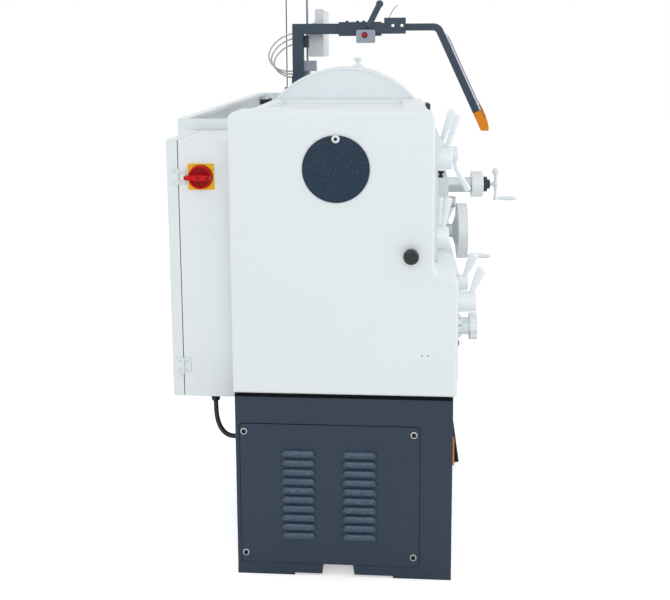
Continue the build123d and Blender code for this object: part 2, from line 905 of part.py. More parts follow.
def belt_loop(offset):
    top_r = pulley_r + offset
    low_r = motor_pulley_r + offset
    lean = (top_r - low_r) / (pulley_z - motor_z)
    side = sqrt(1 - lean * lean)
    top = [(pulley_y + sign * top_r * side, pulley_z - top_r * lean) for sign in (1, -1)]
    low = [(pulley_y + sign * low_r * side, motor_z - low_r * lean) for sign in (1, -1)]
    return make_face(
        Line(top[0], low[0])
        + ThreePointArc(low[0], (pulley_y, motor_z - low_r), low[1])
        + Line(low[1], top[1])
        + ThreePointArc(top[1], (pulley_y, pulley_z + top_r), top[0])
    )


head_pulley = pulley(
    pulley_r, (pulley_near_x, pulley_y, pulley_z), head_x0 + head_wall - pulley_near_x
)
motor_x0 = pulley_near_x + pulley_width + motor_gap
motor_pulley = pulley(
    motor_pulley_r, (pulley_near_x, pulley_y, motor_z), motor_x0 + motor_bell - pulley_near_x
)
belt_x = pulley_near_x + pulley_flange + belt_side
belt_width = pulley_width - 2 * (pulley_flange + belt_side)
drive_belt = extrude(
    Plane.YZ.offset(belt_x) * (belt_loop(face_gap + belt_thick) - belt_loop(face_gap)), belt_width
)
belt_slot_y = (pulley_y - pulley_r - belt_slot_end, pulley_y + pulley_r + belt_slot_end)
belt_run = block(
    (belt_x - belt_slot_side, belt_x + belt_width + belt_slot_side), belt_slot_y,
    (base_top - sheet - 1, base_top + 1),
)
head_cabinet -= belt_run
motor = turned(
    [
        (0, 0), (motor_r - motor_bell_taper, 0), (motor_r, motor_bell), (motor_r, motor_length),
        (0, motor_length),
    ],
    (motor_x0, pulley_y, motor_z), (1, 0, 0),
)
motor -= rod_x(pulley_shaft_r + run_fit, (motor_x0 - 1, motor_x0 + motor_bell), pulley_y, motor_z)
mount_x = (motor_x0 + motor_bell + motor_mount_inset, motor_x0 + motor_length - motor_mount_inset)
mount_z = (motor_z - motor_foot_half, motor_z + motor_foot_half)
mount_y0 = pulley_y + motor_r + motor_foot / 2
motor += block(mount_x, (pulley_y + motor_foot_bite, mount_y0), mount_z)
motor_mount = block(mount_x, (mount_y0, mount_y0 + motor_mount_thick), mount_z)
for rib_z in mount_z:
    inward = motor_mount_thick if rib_z == mount_z[0] else -motor_mount_thick
    rib_pair = (min(rib_z, rib_z + inward), max(rib_z, rib_z + inward))
    motor_mount += block(mount_x, (mount_y0, cabinet_rear_y - sheet), rib_pair)

# Change gears between the headstock and the feed gearbox
def gear_face(teeth, start):
    # Straight-sided teeth, thinned for running play
    pitch_r = gear_module * teeth / 2
    root_r, tip_r = pitch_r - tooth_root * gear_module, pitch_r + tooth_tip * gear_module
    step = 2 * pi / teeth
    points = []
    for tooth in range(teeth):
        centre = start + tooth * step
        for radius, share in (
            (root_r, -tooth_foot_share), (tip_r, -tooth_tip_share),
            (tip_r, tooth_tip_share), (root_r, tooth_foot_share),
        ):
            angle = centre + share * step
            points.append((radius * cos(angle), radius * sin(angle)))
    return Polygon(*points, align=None)


def mesh_start(start, teeth, next_teeth, line):
    # Angle of the first tooth of a gear that meshes with another along a line
    slip = (start - line) * teeth / next_teeth
    return line + pi - slip + pi / next_teeth


def line_angle(a, b):
    reach = Vector(b[0] - a[0], b[1] - a[1])
    return radians(Vector(1, 0).get_signed_angle(reach, Vector(0, 0, 1)))


stud_place = (stud_gear_y, stud_gear_z)
input_place = (input_gear_y, input_gear_z)
stud_reach = gear_module * (stud_teeth + idler_teeth) / 2
input_reach = gear_module * (input_teeth + idler_teeth) / 2
gear_span = sqrt((stud_gear_y - input_gear_y) ** 2 + (stud_gear_z - input_gear_z) ** 2)
idler_along = (stud_reach**2 - input_reach**2 + gear_span**2) / (2 * gear_span)
idler_aside = sqrt(max(stud_reach**2 - idler_along**2, 0))
span_y = (input_gear_y - stud_gear_y) / gear_span
span_z = (input_gear_z - stud_gear_z) / gear_span
idler_place = (
    stud_gear_y + idler_along * span_y - idler_aside * span_z,
    stud_gear_z + idler_along * span_z + idler_aside * span_y,
)
stud_line = line_angle(stud_place, idler_place)
idler_start = mesh_start(stud_line, stud_teeth, idler_teeth, stud_line)
idler_line = line_angle(idler_place, input_place)
input_start = mesh_start(idler_start, idler_teeth, input_teeth, idler_line)


def change_gear(teeth, place, start):
    face = Plane.YZ.offset(gear_x) * Pos(place[0], place[1]) * gear_face(teeth, start)
    return extrude(face, gear_width)


gear_x1 = gear_x + gear_width
shaft_x = (gear_x - gear_shaft_out, head_x0 + head_wall)
stud_gear = change_gear(stud_teeth, stud_place, stud_line) + rod_x(gear_shaft_r, shaft_x, *stud_place)
input_gear = change_gear(input_teeth, input_place, input_start) + rod_x(
    gear_shaft_r, (gear_x - gear_shaft_out, head_x0 + gearbox_wall), *input_place
)
idler_gear = change_gear(idler_teeth, idler_place, idler_start)
idler_gear -= rod_x(gear_shaft_r + run_fit, (gear_x - 1, gear_x1 + 1), *idler_place)
arm_x = (head_x0 - gear_arm_thick, head_x0)
arm_face = SlotCenterToCenter(input_reach, 2 * gear_arm_half)
arm_turn = idler_line * 180 / pi
arm_middle = ((idler_place[0] + input_place[0]) / 2, (idler_place[1] + input_place[1]) / 2)
gear_arm = extrude(
    Plane.YZ.offset(arm_x[0]) * Pos(*arm_middle) * Rot(0, 0, arm_turn) * arm_face, gear_arm_thick
)
gear_arm += rod_x(gear_shaft_r, (gear_x - idler_pin_out, arm_x[1]), *idler_place)
gear_arm -= rod_x(gear_shaft_r + run_fit, (arm_x[0] - 1, arm_x[1] + 1), *input_place)

# Feed gearbox: hollow casting against the front of the bed
gearbox = along_x(
    [
        (gearbox_back_y, gearbox_bottom_z), (gearbox_front_y, gearbox_bottom_z),
        (gearbox_front_y, gearbox_shoulder_z), (gearbox_ledge_y, gearbox_top_z),
        (gearbox_back_y, gearbox_top_z),
    ],
    head_x,
)
gearbox += along_x(
    [
        (gearbox_back_y, gearbox_shoulder_z), (gearbox_front_y, gearbox_shoulder_z),
        (hump_mid_y, hump_mid_z), (hump_top_y, hump_top_z), (gearbox_back_y, hump_top_z),
    ],
    (skirt_x[1], head_x1),
)
gearbox -= block(
    (head_x0 + gearbox_wall, head_x1 - gearbox_wall),
    (gearbox_front_y + gearbox_wall, gearbox_back_y + 1),
    (gearbox_bottom_z + gearbox_wall, gearbox_shoulder_z - gearbox_wall),
)
gearbox -= rod_x(gear_shaft_r + run_fit, (head_x0 - 1, head_x0 + gearbox_wall + 1), *input_place)
feed_rods = ((lead_screw_r, lead_screw_z), (feed_rod_r, feed_rod_z))
for radius, z in feed_rods:
    gearbox -= rod_x(radius + run_fit, (head_x1 - gearbox_wall - 1, head_x1 + 1), rod_y, z)

# Lead screw, feed rod and the bracket that carries their far ends
feed_rod_solids = [rod_x(r, (head_x1 - gearbox_wall, bracket_x[1]), rod_y, z) for r, z in feed_rods]
lead_screw, feed_rod = feed_rod_solids
rod_bracket = block(
    bracket_x, (rod_y - bracket_front, -bed_half), (feed_rod_z - bracket_under, lead_screw_z + bracket_over)
)
for radius, z in feed_rods:
    rod_bracket -= rod_x(radius + run_fit, (bracket_x[0] - 1, bracket_x[1] + 1), rod_y, z)

# Lever with a turned hub on a front face and a tapered grip
def front_lever(spec, face_y, wall):
    x, z = spec["x"], spec["z"]
    hub_length = face_y - face_gap - spec["hub_end"]
    lever = turned(
        [(0, 0), (spec["hub_r"], 0), (spec["hub_r"] - hub_taper, hub_length), (0, hub_length)],
        (x, face_y - face_gap, z), (0, -1, 0), rounds=hub_rounds,
    )
    lever += rod_on_y(lever_shaft_r, x, (face_y - face_gap - 1, face_y + wall), z)
    start = (x, spec["start"][0], spec["start"][1])
    end = (x, spec["end"][0], spec["end"][1])
    return lever + grip(start, end, lever_root_r, lever_end_r, grip_end_round)


def lever_bore(x, z, face_y, wall):
    return rod_on_y(lever_shaft_r + run_fit, x, (face_y - 1, face_y + wall + 1), z)


head_levers = {}
for name, spec in (
    ("speed_lever_left", speed_left), ("speed_lever_right", speed_right),
    ("thread_lever_left", thread_left), ("thread_lever_right", thread_right),
):
    head_levers[name] = front_lever(spec, head_front_y, head_wall)
    headstock -= lever_bore(spec["x"], spec["z"], head_front_y, head_wall)
for name, spec in (("feed_lever_left", feed_left), ("feed_lever_right", feed_right)):
    head_levers[name] = front_lever(spec, gearbox_front_y, gearbox_wall)
    gearbox -= lever_bore(spec["x"], spec["z"], gearbox_front_y, gearbox_wall)

# Feed direction lever: long hub with a bent lever that hangs down
turn_hub_length = head_front_y - face_gap - turn_hub_end
direction_lever = turned(
    [(0, 0), (turn_hub_r, 0), (turn_hub_r - hub_taper, turn_hub_length), (0, turn_hub_length)],
    (turn_lever_x, head_front_y - face_gap, turn_lever_z), (0, -1, 0), rounds=hub_rounds,
)
direction_lever += rod_on_y(
    lever_shaft_r, turn_lever_x, (head_front_y - face_gap - 1, head_front_y + head_wall), turn_lever_z
)
bend_points = [(turn_lever_x, y, z) for y, z in turn_bend]
direction_lever += grip(bend_points[0], bend_points[1], lever_root_r, turn_knee_r, hub_rounds[0])
direction_lever += Pos(*bend_points[1]) * Sphere(turn_knee_r)
direction_lever += grip(bend_points[1], bend_points[2], lever_root_r, lever_end_r, grip_end_round)
headstock -= lever_bore(turn_lever_x, turn_lever_z, head_front_y, head_wall)

# Numbered feed dial on the gearbox, the star knob in front of it and an oil plug
feed_dial = turned(
    [(0, 0), (dial_r, 0), (dial_r, dial_rim), (dial_small_r, dial_depth), (0, dial_depth)],
    (knob_x, gearbox_front_y, knob_z), (0, -1, 0),
)
feed_dial -= rod_on_y(
    lever_shaft_r + run_fit, knob_x, (gearbox_front_y - dial_depth - 1, gearbox_front_y + 1), knob_z
)
gearbox -= lever_bore(knob_x, knob_z, gearbox_front_y, gearbox_wall)
star_back_y = star_end_y + star_thick
dial_end_y = gearbox_front_y - dial_depth - face_gap
star_face = Circle(star_r - star_lobe_r / 2)
for index in range(star_lobes):
    angle = 2 * pi * index / star_lobes
    lobe_place = ((star_r - star_lobe_r) * cos(angle), (star_r - star_lobe_r) * sin(angle))
    star_face += Pos(*lobe_place) * Circle(star_lobe_r)
star_knob = extrude(Plane.XZ.offset(-star_back_y) * Pos(knob_x, knob_z) * star_face, star_thick)
star_knob += rod_on_y(star_hub_r, knob_x, (star_back_y, dial_end_y), knob_z)
star_knob += rod_on_y(lever_shaft_r, knob_x, (dial_end_y - 1, gearbox_front_y + gearbox_wall), knob_z)
oil_plug = turned(
    [(0, 0), (plug_r, 0), (plug_r, gearbox_front_y - plug_end_y), (0, gearbox_front_y - plug_end_y)],
    (knob_x, gearbox_front_y, plug_z), (0, -1, 0), rounds=plug_rounds,
)

# End cover: deep pressed hood with a crowned top, stepped out in front of the gearbox
cover_edges = (
    Line((cover_rear_y, cover_bottom_z), (cover_rear_y, cover_top_z))
    + ThreePointArc(
        (cover_rear_y, cover_top_z),
        ((cover_rear_y + cover_front_y) / 2, cover_top_z + cover_crown),
        (cover_front_y, cover_top_z),
    )
    + Polyline(
        (cover_front_y, cover_top_z), (cover_front_y, cover_step_z), (cover_step_y, cover_step_low_z),
        (cover_step_y, cover_bottom_z), (cover_rear_y, cover_bottom_z),
    )
)
cover_face = make_face(cover_edges)
top_corners = cover_face.vertices().group_by(Axis.Y)[-1]
cover_face = fillet(top_corners, cover_corner_r)
step_corners = [v for v in cover_face.vertices() if cover_step_low_z - 1 < v.Y < cover_step_z + 1]
cover_face = fillet(step_corners, cover_step_r)
end_cover = extrude(Plane.YZ.offset(near_x) * cover_face, cover_depth)
end_cover = fillet(end_cover.faces().sort_by(Axis.X)[0].edges(), cover_face_r)
cover_inside = offset(cover_face, -cover_wall)
end_cover -= extrude(Plane.YZ.offset(near_x + cover_wall) * cover_inside, cover_depth)
end_cover -= rod_x(bore_window_r, (near_x - 1, near_x + cover_wall + 1), 0, spindle_z)
end_cover -= block(
    (belt_x - belt_slot_side, cover_far_x + 1), belt_slot_y,
    (cover_bottom_z - 1, cover_bottom_z + cover_wall + 1),
)
cover_skin_x = (near_x - 1, near_x + cover_wall + 1)
end_cover -= rod_x(cover_latch_r + run_fit, cover_skin_x, cover_knob_y, cover_knob_z)
disc_pivot_z = spindle_z + disc_r - disc_pivot_drop
end_cover -= rod_x(disc_stem_r + run_fit, (near_x - 1, near_x + cover_wall + 1), 0, disc_pivot_z)
cover_hinges = []
for z in hinge_zs:
    seat_z = (z - hinge_height / 2 - hinge_arm, z - hinge_height / 2)
    arm = along_z(
        [
            (head_x0, head_rear_y - hinge_root), (head_x0, head_rear_y),
            (hinge_x + hinge_tip, hinge_y + hinge_tip),
            (hinge_x - hinge_tip, hinge_y + hinge_tip), (hinge_x - hinge_tip, hinge_y - hinge_tip),
        ],
        seat_z,
    )
    arm += rod_z(hinge_pin_r, hinge_x, hinge_y, (seat_z[1] - 1, z + hinge_height / 2))
    cover_hinges.append(arm)
    knuckle_z = (seat_z[1] + face_gap, z + hinge_height / 2 - hinge_play)
    knuckle = rod_z(hinge_knuckle_r, hinge_x, hinge_y, knuckle_z)
    knuckle += block(
        (hinge_x - hinge_strap, hinge_x + hinge_strap), (hinge_y, cover_rear_y - cover_wall / 2), knuckle_z
    )
    knuckle -= rod_z(hinge_pin_r + run_fit, hinge_x, hinge_y, (knuckle_z[0] - 1, knuckle_z[1] + 1))
    end_cover += knuckle
    end_cover -= block(
        (hinge_x - hinge_play, cover_far_x + 1), (cover_rear_y - cover_wall - 1, cover_rear_y + 1),
        (seat_z[0] - hinge_relief, seat_z[1] + face_gap),
    )

# Round plate over the bar opening, its pivot screw and the cover's locking knob
bar_disc = rod_x(disc_r, (near_x - face_gap - disc_thick, near_x - face_gap), 0, spindle_z)
bar_disc -= rod_x(disc_stem_r + run_fit, (near_x - face_gap - disc_thick - 1, near_x + 1), 0, disc_pivot_z)
disc_outer_x = near_x - face_gap - disc_thick
ring_x = disc_outer_x - disc_ring_height
screw_x = ring_x - disc_screw_height
disc_screw = rod_x(disc_ring_r, (ring_x, disc_outer_x), 0, disc_pivot_z)
disc_screw += rod_x(disc_screw_r, (screw_x, ring_x), 0, disc_pivot_z)
disc_screw += rod_x(disc_stem_r, (disc_outer_x - 1, near_x + cover_wall), 0, disc_pivot_z)
disc_screw -= rod_x(disc_stem_r, (screw_x - 1, screw_x + disc_socket_depth), 0, disc_pivot_z)
cover_knob = turned(
    [
        (0, 0), (cover_knob_neck_r, 0), (cover_knob_neck_r, cover_knob_neck),
        (cover_knob_r, cover_knob_flare),
        (cover_knob_r, cover_knob_height), (0, cover_knob_height),
    ],
    (near_x - face_gap, cover_knob_y, cover_knob_z), (-1, 0, 0), rounds=cover_knob_rounds,
)
cover_knob += rod_x(
    cover_latch_r, (near_x - face_gap - 1, near_x + cover_wall + cover_latch_reach),
    cover_knob_y, cover_knob_z
)

# Electrics cabinet on two pads behind the headstock, with its door, hinges and mounting plate
for pad_z in pad_zs:
    headstock += block(
        (elec_x[0] + pad_height, elec_x[1] - pad_height), (head_rear_y, elec_y[0]),
        (pad_z, pad_z + pad_height)
    )
electrics_cabinet = block(elec_x, elec_y, elec_z)
electrics_cabinet -= block(
    (elec_x[0] + elec_sheet, elec_x[1] - elec_sheet), (elec_y[0] + elec_sheet, elec_y[1] + 1),
    (elec_z[0] + elec_sheet, elec_z[1] - elec_sheet),
)
switch_near_x = elec_x[0] - switch_plate_thick
electrics_cabinet -= rod_x(
    switch_shaft_r + run_fit, (elec_x[0] - 1, elec_x[0] + elec_sheet + 1), switch_y, switch_z
)
door_y = (elec_y[1] + door_gap, door_y1)
electrics_door = block(elec_x, door_y, elec_z)
electrics_door -= block(
    (elec_x[0] + elec_sheet, elec_x[1] - elec_sheet), (door_y[0] - 1, door_y[1] - elec_sheet),
    (elec_z[0] + elec_sheet, elec_z[1] - elec_sheet),
)
door_axis = (elec_x[0] - door_knuckle_r - door_knuckle_gap, elec_y[1] + door_gap / 2)
leaf_x = (elec_x[0] - door_leaf_thick, elec_x[0])
door_hinges = []
for z in door_hinge_zs:
    low, high = z - door_hinge_height / 2, z + door_hinge_height / 2
    third = door_hinge_height / 3
    fixed = block(leaf_x, (door_axis[1] - door_leaf, door_axis[1] - door_leaf_gap), (low, high))
    fixed += rod_z(door_knuckle_r, *door_axis, (low, low + third))
    fixed += rod_z(door_knuckle_r, *door_axis, (high - third, high))
    relief = rod_z(door_knuckle_r + face_gap, *door_axis, (low + third - face_gap, high - third + face_gap))
    fixed = fixed - relief + rod_z(door_pin_r, *door_axis, (low + 1, high - 1))
    door_hinges.append(fixed)
    moving = block(leaf_x, (door_axis[1] + door_leaf_gap, door_axis[1] + door_leaf), (low, high))
    for end_z in ((low - 1, low + third), (high - third, high + 1)):
        moving -= rod_z(door_knuckle_r + face_gap, *door_axis, end_z)
    moving += rod_z(door_knuckle_r, *door_axis, (low + third + face_gap, high - third - face_gap))
    moving -= rod_z(door_pin_r + run_fit, *door_axis, (low, high))
    electrics_door += moving
plate_front_y = elec_y[0] + elec_sheet + plate_thick
electrics_plate = block(
    (elec_x[0] + plate_inset[0], elec_x[1] - plate_inset[0]), (elec_y[0] + elec_sheet, plate_front_y),
    (elec_z[0] + plate_inset[1], elec_z[1] - plate_inset[1]),
)
for row_z, depth in device_rows:
    for column in range(device_columns):
        left = elec_x[0] + device_first + column * device_pitch
        electrics_plate += block(
            (left, left + device_width), (plate_front_y, plate_front_y + depth),
            (row_z, row_z + device_height)
        )

# Main switch: square plate and round knob with a raised bar
switch_square = block(
    (switch_near_x, elec_x[0]), (switch_y - switch_plate / 2, switch_y + switch_plate / 2),
    (switch_z - switch_plate / 2, switch_z + switch_plate / 2),
)
switch_square -= rod_x(
    switch_shaft_r + run_fit, (switch_near_x - 1, elec_x[0] + 1), switch_y, switch_z
)
knob_near_x = switch_near_x - face_gap
main_switch = turned(
    [(0, 0), (switch_r, 0), (switch_r - switch_taper, switch_base), (0, switch_base)],
    (knob_near_x, switch_y, switch_z), (-1, 0, 0), rounds=plug_rounds,
)
bar_y = (switch_y - switch_bar_start, switch_y + switch_bar_end)
bar_tip, bar_half = switch_bar_tip / 2, switch_bar_width / 2
main_switch += along_x(
    [
        (bar_y[0], switch_z - bar_tip), (switch_y, switch_z - bar_half), (bar_y[1], switch_z - bar_tip),
        (bar_y[1], switch_z + bar_tip), (switch_y, switch_z + bar_half), (bar_y[0], switch_z + bar_tip),
    ],
    (knob_near_x - switch_base - switch_bar_height, knob_near_x - switch_bar_bite),
)
main_switch += rod_x(
    switch_shaft_r, (knob_near_x - switch_bar_bite, elec_x[0] + elec_sheet + switch_shaft_end), switch_y,
    switch_z,
)

# Cable from the cabinet's gland to a grommet in the head cabinet
cable_gland = turned(
    [
        (0, 0), (gland_r, 0), (gland_r, gland_nut), (gland_neck_r, elec_z[0] - gland_z),
        (0, elec_z[0] - gland_z),
    ],
    (gland_x, gland_y, elec_z[0]), (0, 0, -1),
)
grommet_y, grommet_z = cable_route[-1]
base_grommet = turned(
    [(0, 0), (gland_r, 0), (grommet_neck_r, grommet_y - cabinet_rear_y), (0, grommet_y - cabinet_rear_y)],
    (gland_x, cabinet_rear_y, grommet_z), (0, 1, 0),
)


def corner_radii(points):
    # Largest arc for each corner of a route: 0.45 of its shorter run
    radii = []
    for before, corner, after in zip(points, points[1:], points[2:]):
        first, second = Vector(corner) - Vector(before), Vector(after) - Vector(corner)
        turn = radians(first.get_angle(second))
        radii.append(0.45 * min(first.length, second.length) / tan(turn / 2))
    return radii


def cord(points, radius, label):
    # Round cord along straight runs joined by tangent arcs
    radii = corner_radii(points)
    path = FilletPolyline(*points, radius=radii)
    start = Plane(points[0], z_dir=Vector(points[1]) - Vector(points[0]))
    tube = sweep(start * Circle(radius), path=path)
    expected = pi * radius**2 * path.length
    print(label, "radii", [round(r) for r in radii], "volume share", round(tube.volume / expected, 4))
    return tube


motor_cable = cord([(gland_x, y, z) for y, z in cable_route], cable_r, "motor_cable")

# Splash guard: folded sheet with end plates and a turned-in top
splash_guard = block(splash_x, (splash_y - splash_sheet, splash_y), (base_top, splash_top_z))
splash_guard += block(
    splash_x, (splash_y - splash_flange, splash_y), (splash_top_z - splash_sheet, splash_top_z)
)
flange_y = splash_y - splash_flange
splash_guard += block(
    splash_x, (flange_y, flange_y + splash_sheet), (splash_top_z - splash_lip, splash_top_z)
)
splash_ends = (
    (splash_x[0], base_top + tray_wall + splash_end_rise), (splash_x[1] - splash_sheet, base_top)
)
for end_x, low_z in splash_ends:
    splash_guard += block((end_x, end_x + splash_sheet), (splash_end_y, splash_y), (low_z, splash_top_z))
splash_guard += block(
    (splash_x[1] - splash_lip, splash_x[1]), (splash_end_y, splash_end_y + splash_sheet),
    (base_top, splash_top_z),
)
splash_guard -= block(
    (splash_x[0] - 1, tray_x[0] + sheet + splash_notch_gap), (splash_y - splash_flange, splash_y + 1),
    (base_top - 1, base_top + tray_wall + splash_notch_gap),
)

# Chuck guard: drum segment with one closed side, lugs on a hinge rod, a knob and a front grip
def guard_height(y, radius):
    return guard_centre[1] + sqrt(radius**2 - (y - guard_centre[0]) ** 2)


def guard_segment(radius, front, rear, floor_z):
    crown = (guard_centre[0], guard_centre[1] + radius)
    front_top, rear_top = (front, guard_height(front, radius)), (rear, guard_height(rear, radius))
    return make_face(
        ThreePointArc(front_top, crown, rear_top)
        + Polyline(rear_top, (rear, floor_z), (front, floor_z), front_top)
    )


guard_width = guard_x[1] - guard_x[0]
guard_drum = extrude(
    Plane.YZ.offset(guard_x[0]) * guard_segment(guard_r, guard_front_y, guard_rear_y, guard_floor_z),
    guard_width, dir=(1, 0, 0),
)
guard_hollow = guard_segment(
    guard_r - guard_wall, guard_front_y + guard_wall, guard_rear_y - guard_wall, guard_floor_z - 1
)
chuck_guard = guard_drum - extrude(
    Plane.YZ.offset(guard_x[0] + guard_wall) * guard_hollow, guard_width, dir=(1, 0, 0)
)
pivot_y, pivot_z = guard_pivot
for lug_x in (guard_x[0] + guard_lug_inset, guard_x[1] - guard_lug_inset - guard_lug):
    lug = rod_x(guard_lug_r, (lug_x, lug_x + guard_lug), pivot_y, pivot_z)
    lug += block(
        (lug_x, lug_x + guard_lug), (guard_rear_y - guard_wall, pivot_y),
        (guard_floor_z + guard_lug_rise, pivot_z + guard_lug_r / 2),
    )
    lug -= rod_x(guard_rod_r + run_fit, (lug_x - 1, lug_x + guard_lug + 1), pivot_y, pivot_z)
    chuck_guard += lug
rod_base_x = (head_x1 - hinge_block_x[0], head_x1 - hinge_block_x[1])
guard_hinge = block(
    rod_base_x, (head_rear_y, pivot_y + guard_lug_r), (pivot_z - hinge_block_half, pivot_z + hinge_block_half)
)
guard_hinge += rod_x(guard_rod_r, (rod_base_x[0], guard_x[1] + guard_rod_out), pivot_y, pivot_z)
knob_seat_z = guard_height(guard_knob_y, guard_r) - guard_knob_sink
guard_middle_x = (guard_x[0] + guard_x[1]) / 2
guard_knob = turned(
    [
        (0, 0), (guard_knob_base_r, 0), (guard_knob_base_r, guard_knob_base),
        (guard_knob_neck_r, guard_knob_neck[0]), (guard_knob_neck_r, guard_knob_neck[1]),
        (guard_knob_cap_r, guard_knob_height - guard_knob_cap), (guard_knob_cap_r, guard_knob_height),
        (0, guard_knob_height),
    ],
    (guard_middle_x, guard_knob_y, knob_seat_z), (0, 0, 1),
)
guard_knob -= guard_drum
guard_grip = block(
    (guard_middle_x - guard_grip_half, guard_middle_x + guard_grip_half), (guard_grip_y, guard_front_y),
    guard_grip_z,
)
guard_grip = chamfer(guard_grip.edges().filter_by(Axis.X).group_by(Axis.Y)[0], guard_grip_edge)

# Saddle: wings on the ways and a bridge that overhangs the apron and carries the dovetail
saddle_z0 = way_z + slide_gap
saddle = block(bridge_x, (-saddle_wing_y, bridge_rear_y), (saddle_z0, saddle_top_z))
saddle += block(bridge_x, (bridge_front_y, -bed_half - bridge_lap), (overhang_z, saddle_top_z))
for side in (-1, 1):
    wing = sorted((side * saddle_wing, side * saddle_wing_y))
    saddle += block(saddle_x, wing, (saddle_z0, wing_top_z))
saddle -= along_x(vee(slide_gap), (saddle_x[0] - 1, saddle_x[1] + 1))


def dovetail(gap):
    foot, top = dovetail_half + gap, dovetail_half + dovetail_flare + gap
    z1 = saddle_top_z + dovetail_height + gap
    return [
        (dovetail_x - foot, saddle_top_z - 1), (dovetail_x + foot, saddle_top_z - 1),
        (dovetail_x + top, z1), (dovetail_x - top, z1),
    ]


saddle += along_y(dovetail(0), dovetail_y)
cross_shaft_end = bridge_front_y + cross_shaft_depth
saddle -= rod_on_y(cross_shaft_r + run_fit, dovetail_x, (bridge_front_y - 1, cross_shaft_end), cross_z)
saddle -= rod_z(lock_stem_r + run_fit, lock_x, lock_y, (saddle_top_z - lock_depth, saddle_top_z + 1))

# Apron: hollow box open towards the bed, below the bridge
apron = block(apron_x, (apron_front_y, apron_back_y), (apron_bottom_z, overhang_z))
apron -= block(
    (apron_x[0] + apron_wall, apron_x[1] - apron_wall), (apron_front_y + apron_wall, apron_back_y + 1),
    (apron_bottom_z + apron_wall, overhang_z - apron_wall),
)
front_edges = apron.edges().filter_by(Axis.Z).group_by(Axis.Y)[0]
apron = fillet(front_edges, apron_corner_r)
for radius, z in feed_rods:
    apron -= rod_x(radius + run_fit, (apron_x[0] - 1, apron_x[1] + 1), rod_y, z)
apron_bores = (
    (wheel_shaft_r, wheel_x, wheel_z), (lever_shaft_r, half_nut["x"], half_nut["z"]),
    (lever_shaft_r, selector_x, selector_z),
)
for radius, x, z in apron_bores:
    apron -= rod_on_y(radius + run_fit, x, (apron_front_y - 1, apron_front_y + apron_wall + 1), z)

# Dished carriage handwheel and its turning handle
wheel_back_y = apron_front_y - face_gap
rim_back, rim_front = wheel_back_y - wheel_rim_y[1], wheel_back_y - wheel_rim_y[0]
rim_inner_r = wheel_r - wheel_rim_depth
apron_wheel = turned(
    [
        (0, 0), (wheel_hub_r, 0), (wheel_hub_r, wheel_hub_depth - wheel_web),
        (rim_inner_r, rim_back + wheel_lip),
        (rim_inner_r, rim_back), (wheel_r, rim_back), (wheel_r, rim_front), (rim_inner_r, rim_front),
        (rim_inner_r, rim_back + wheel_lip + wheel_web), (wheel_hub_r, wheel_hub_depth + wheel_lip),
        (0, wheel_hub_depth + wheel_lip),
    ],
    (wheel_x, wheel_back_y, wheel_z), (0, -1, 0),
)
apron_wheel += rod_on_y(wheel_shaft_r, wheel_x, (wheel_back_y - 1, apron_front_y + apron_wall), wheel_z)
handle_z = wheel_z - wheel_r + wheel_rim_depth / 2
apron_wheel -= rod_on_y(
    handle_pin_r + run_fit, wheel_x, (wheel_rim_y[0] - 1, wheel_rim_y[0] + wheel_handle_bore), handle_z
)


def turning_handle(seat, direction, length, bulge, pin, pin_depth):
    # Spindle-shaped handle on a pin: a smooth swell that tapers to the tip
    root, tip = (pin * handle_root_share, handle_shoulder), (pin * handle_tip_share, length)
    swell = Spline(root, (bulge, length * handle_swell_at), tip, tangents=((0.1, 1), (-0.7, 1)))
    outline = swell + Polyline(
        tip, (0, length), (0, -pin_depth), (pin, -pin_depth), (pin, handle_shoulder), root
    )
    return Plane(seat, z_dir=direction) * revolve(Plane.XZ * make_face(outline), Axis.Z)


wheel_handle = turning_handle(
    (wheel_x, wheel_rim_y[0], handle_z), (0, -1, 0), handle_length, handle_bulge_r, handle_pin_r,
    wheel_handle_bore - handle_bore_rest,
)

# Apron controls: feed selector and half-nut lever
feed_selector = turned(
    [
        (0, 0), (selector_r, 0), (selector_r - selector_taper, wheel_back_y - selector_end_y),
        (0, wheel_back_y - selector_end_y),
    ],
    (selector_x, wheel_back_y, selector_z), (0, -1, 0), rounds=selector_rounds,
)
feed_selector += rod_on_y(
    lever_shaft_r, selector_x, (apron_front_y - face_gap - 1, apron_front_y + apron_wall), selector_z
)
half_nut_lever = front_lever(half_nut, apron_front_y, apron_wall)

# Cross feed: round bearing housing, graduated drum, knurled ring and ball crank
cross_bracket = rod_on_y(cross_bracket_r, dovetail_x, (cross_bracket_end_y, bridge_front_y), cross_z)
cross_bracket -= rod_on_y(
    cross_shaft_r + run_fit, dovetail_x, (cross_bracket_end_y - 1, bridge_front_y + 1), cross_z
)
dial_back_y = cross_bracket_end_y - face_gap
cross_dial = turned(
    [
        (0, 0), (cross_dial_r, 0), (cross_dial_r, dial_back_y - cross_dial_end_y),
        (0, dial_back_y - cross_dial_end_y),
    ],
    (dovetail_x, dial_back_y, cross_z), (0, -1, 0), rounds=cross_dial_rounds,
)
cross_dial -= rod_on_y(cross_shaft_r, dovetail_x, (cross_dial_end_y - 1, dial_back_y + 1), cross_z)
ring_length = cross_dial_end_y - cross_ring_end_y
cross_ring = turned(
    [
        (0, 0), (cross_ring_r, 0), (cross_ring_r, ring_length * cross_ring_share),
        (cross_ring_neck_r, ring_length * cross_ring_share),
        (cross_ring_neck_r, ring_length), (0, ring_length),
    ],
    (dovetail_x, cross_dial_end_y, cross_z), (0, -1, 0),
)
cross_ring -= rod_on_y(cross_shaft_r, dovetail_x, (cross_ring_end_y - 1, cross_dial_end_y + 1), cross_z)


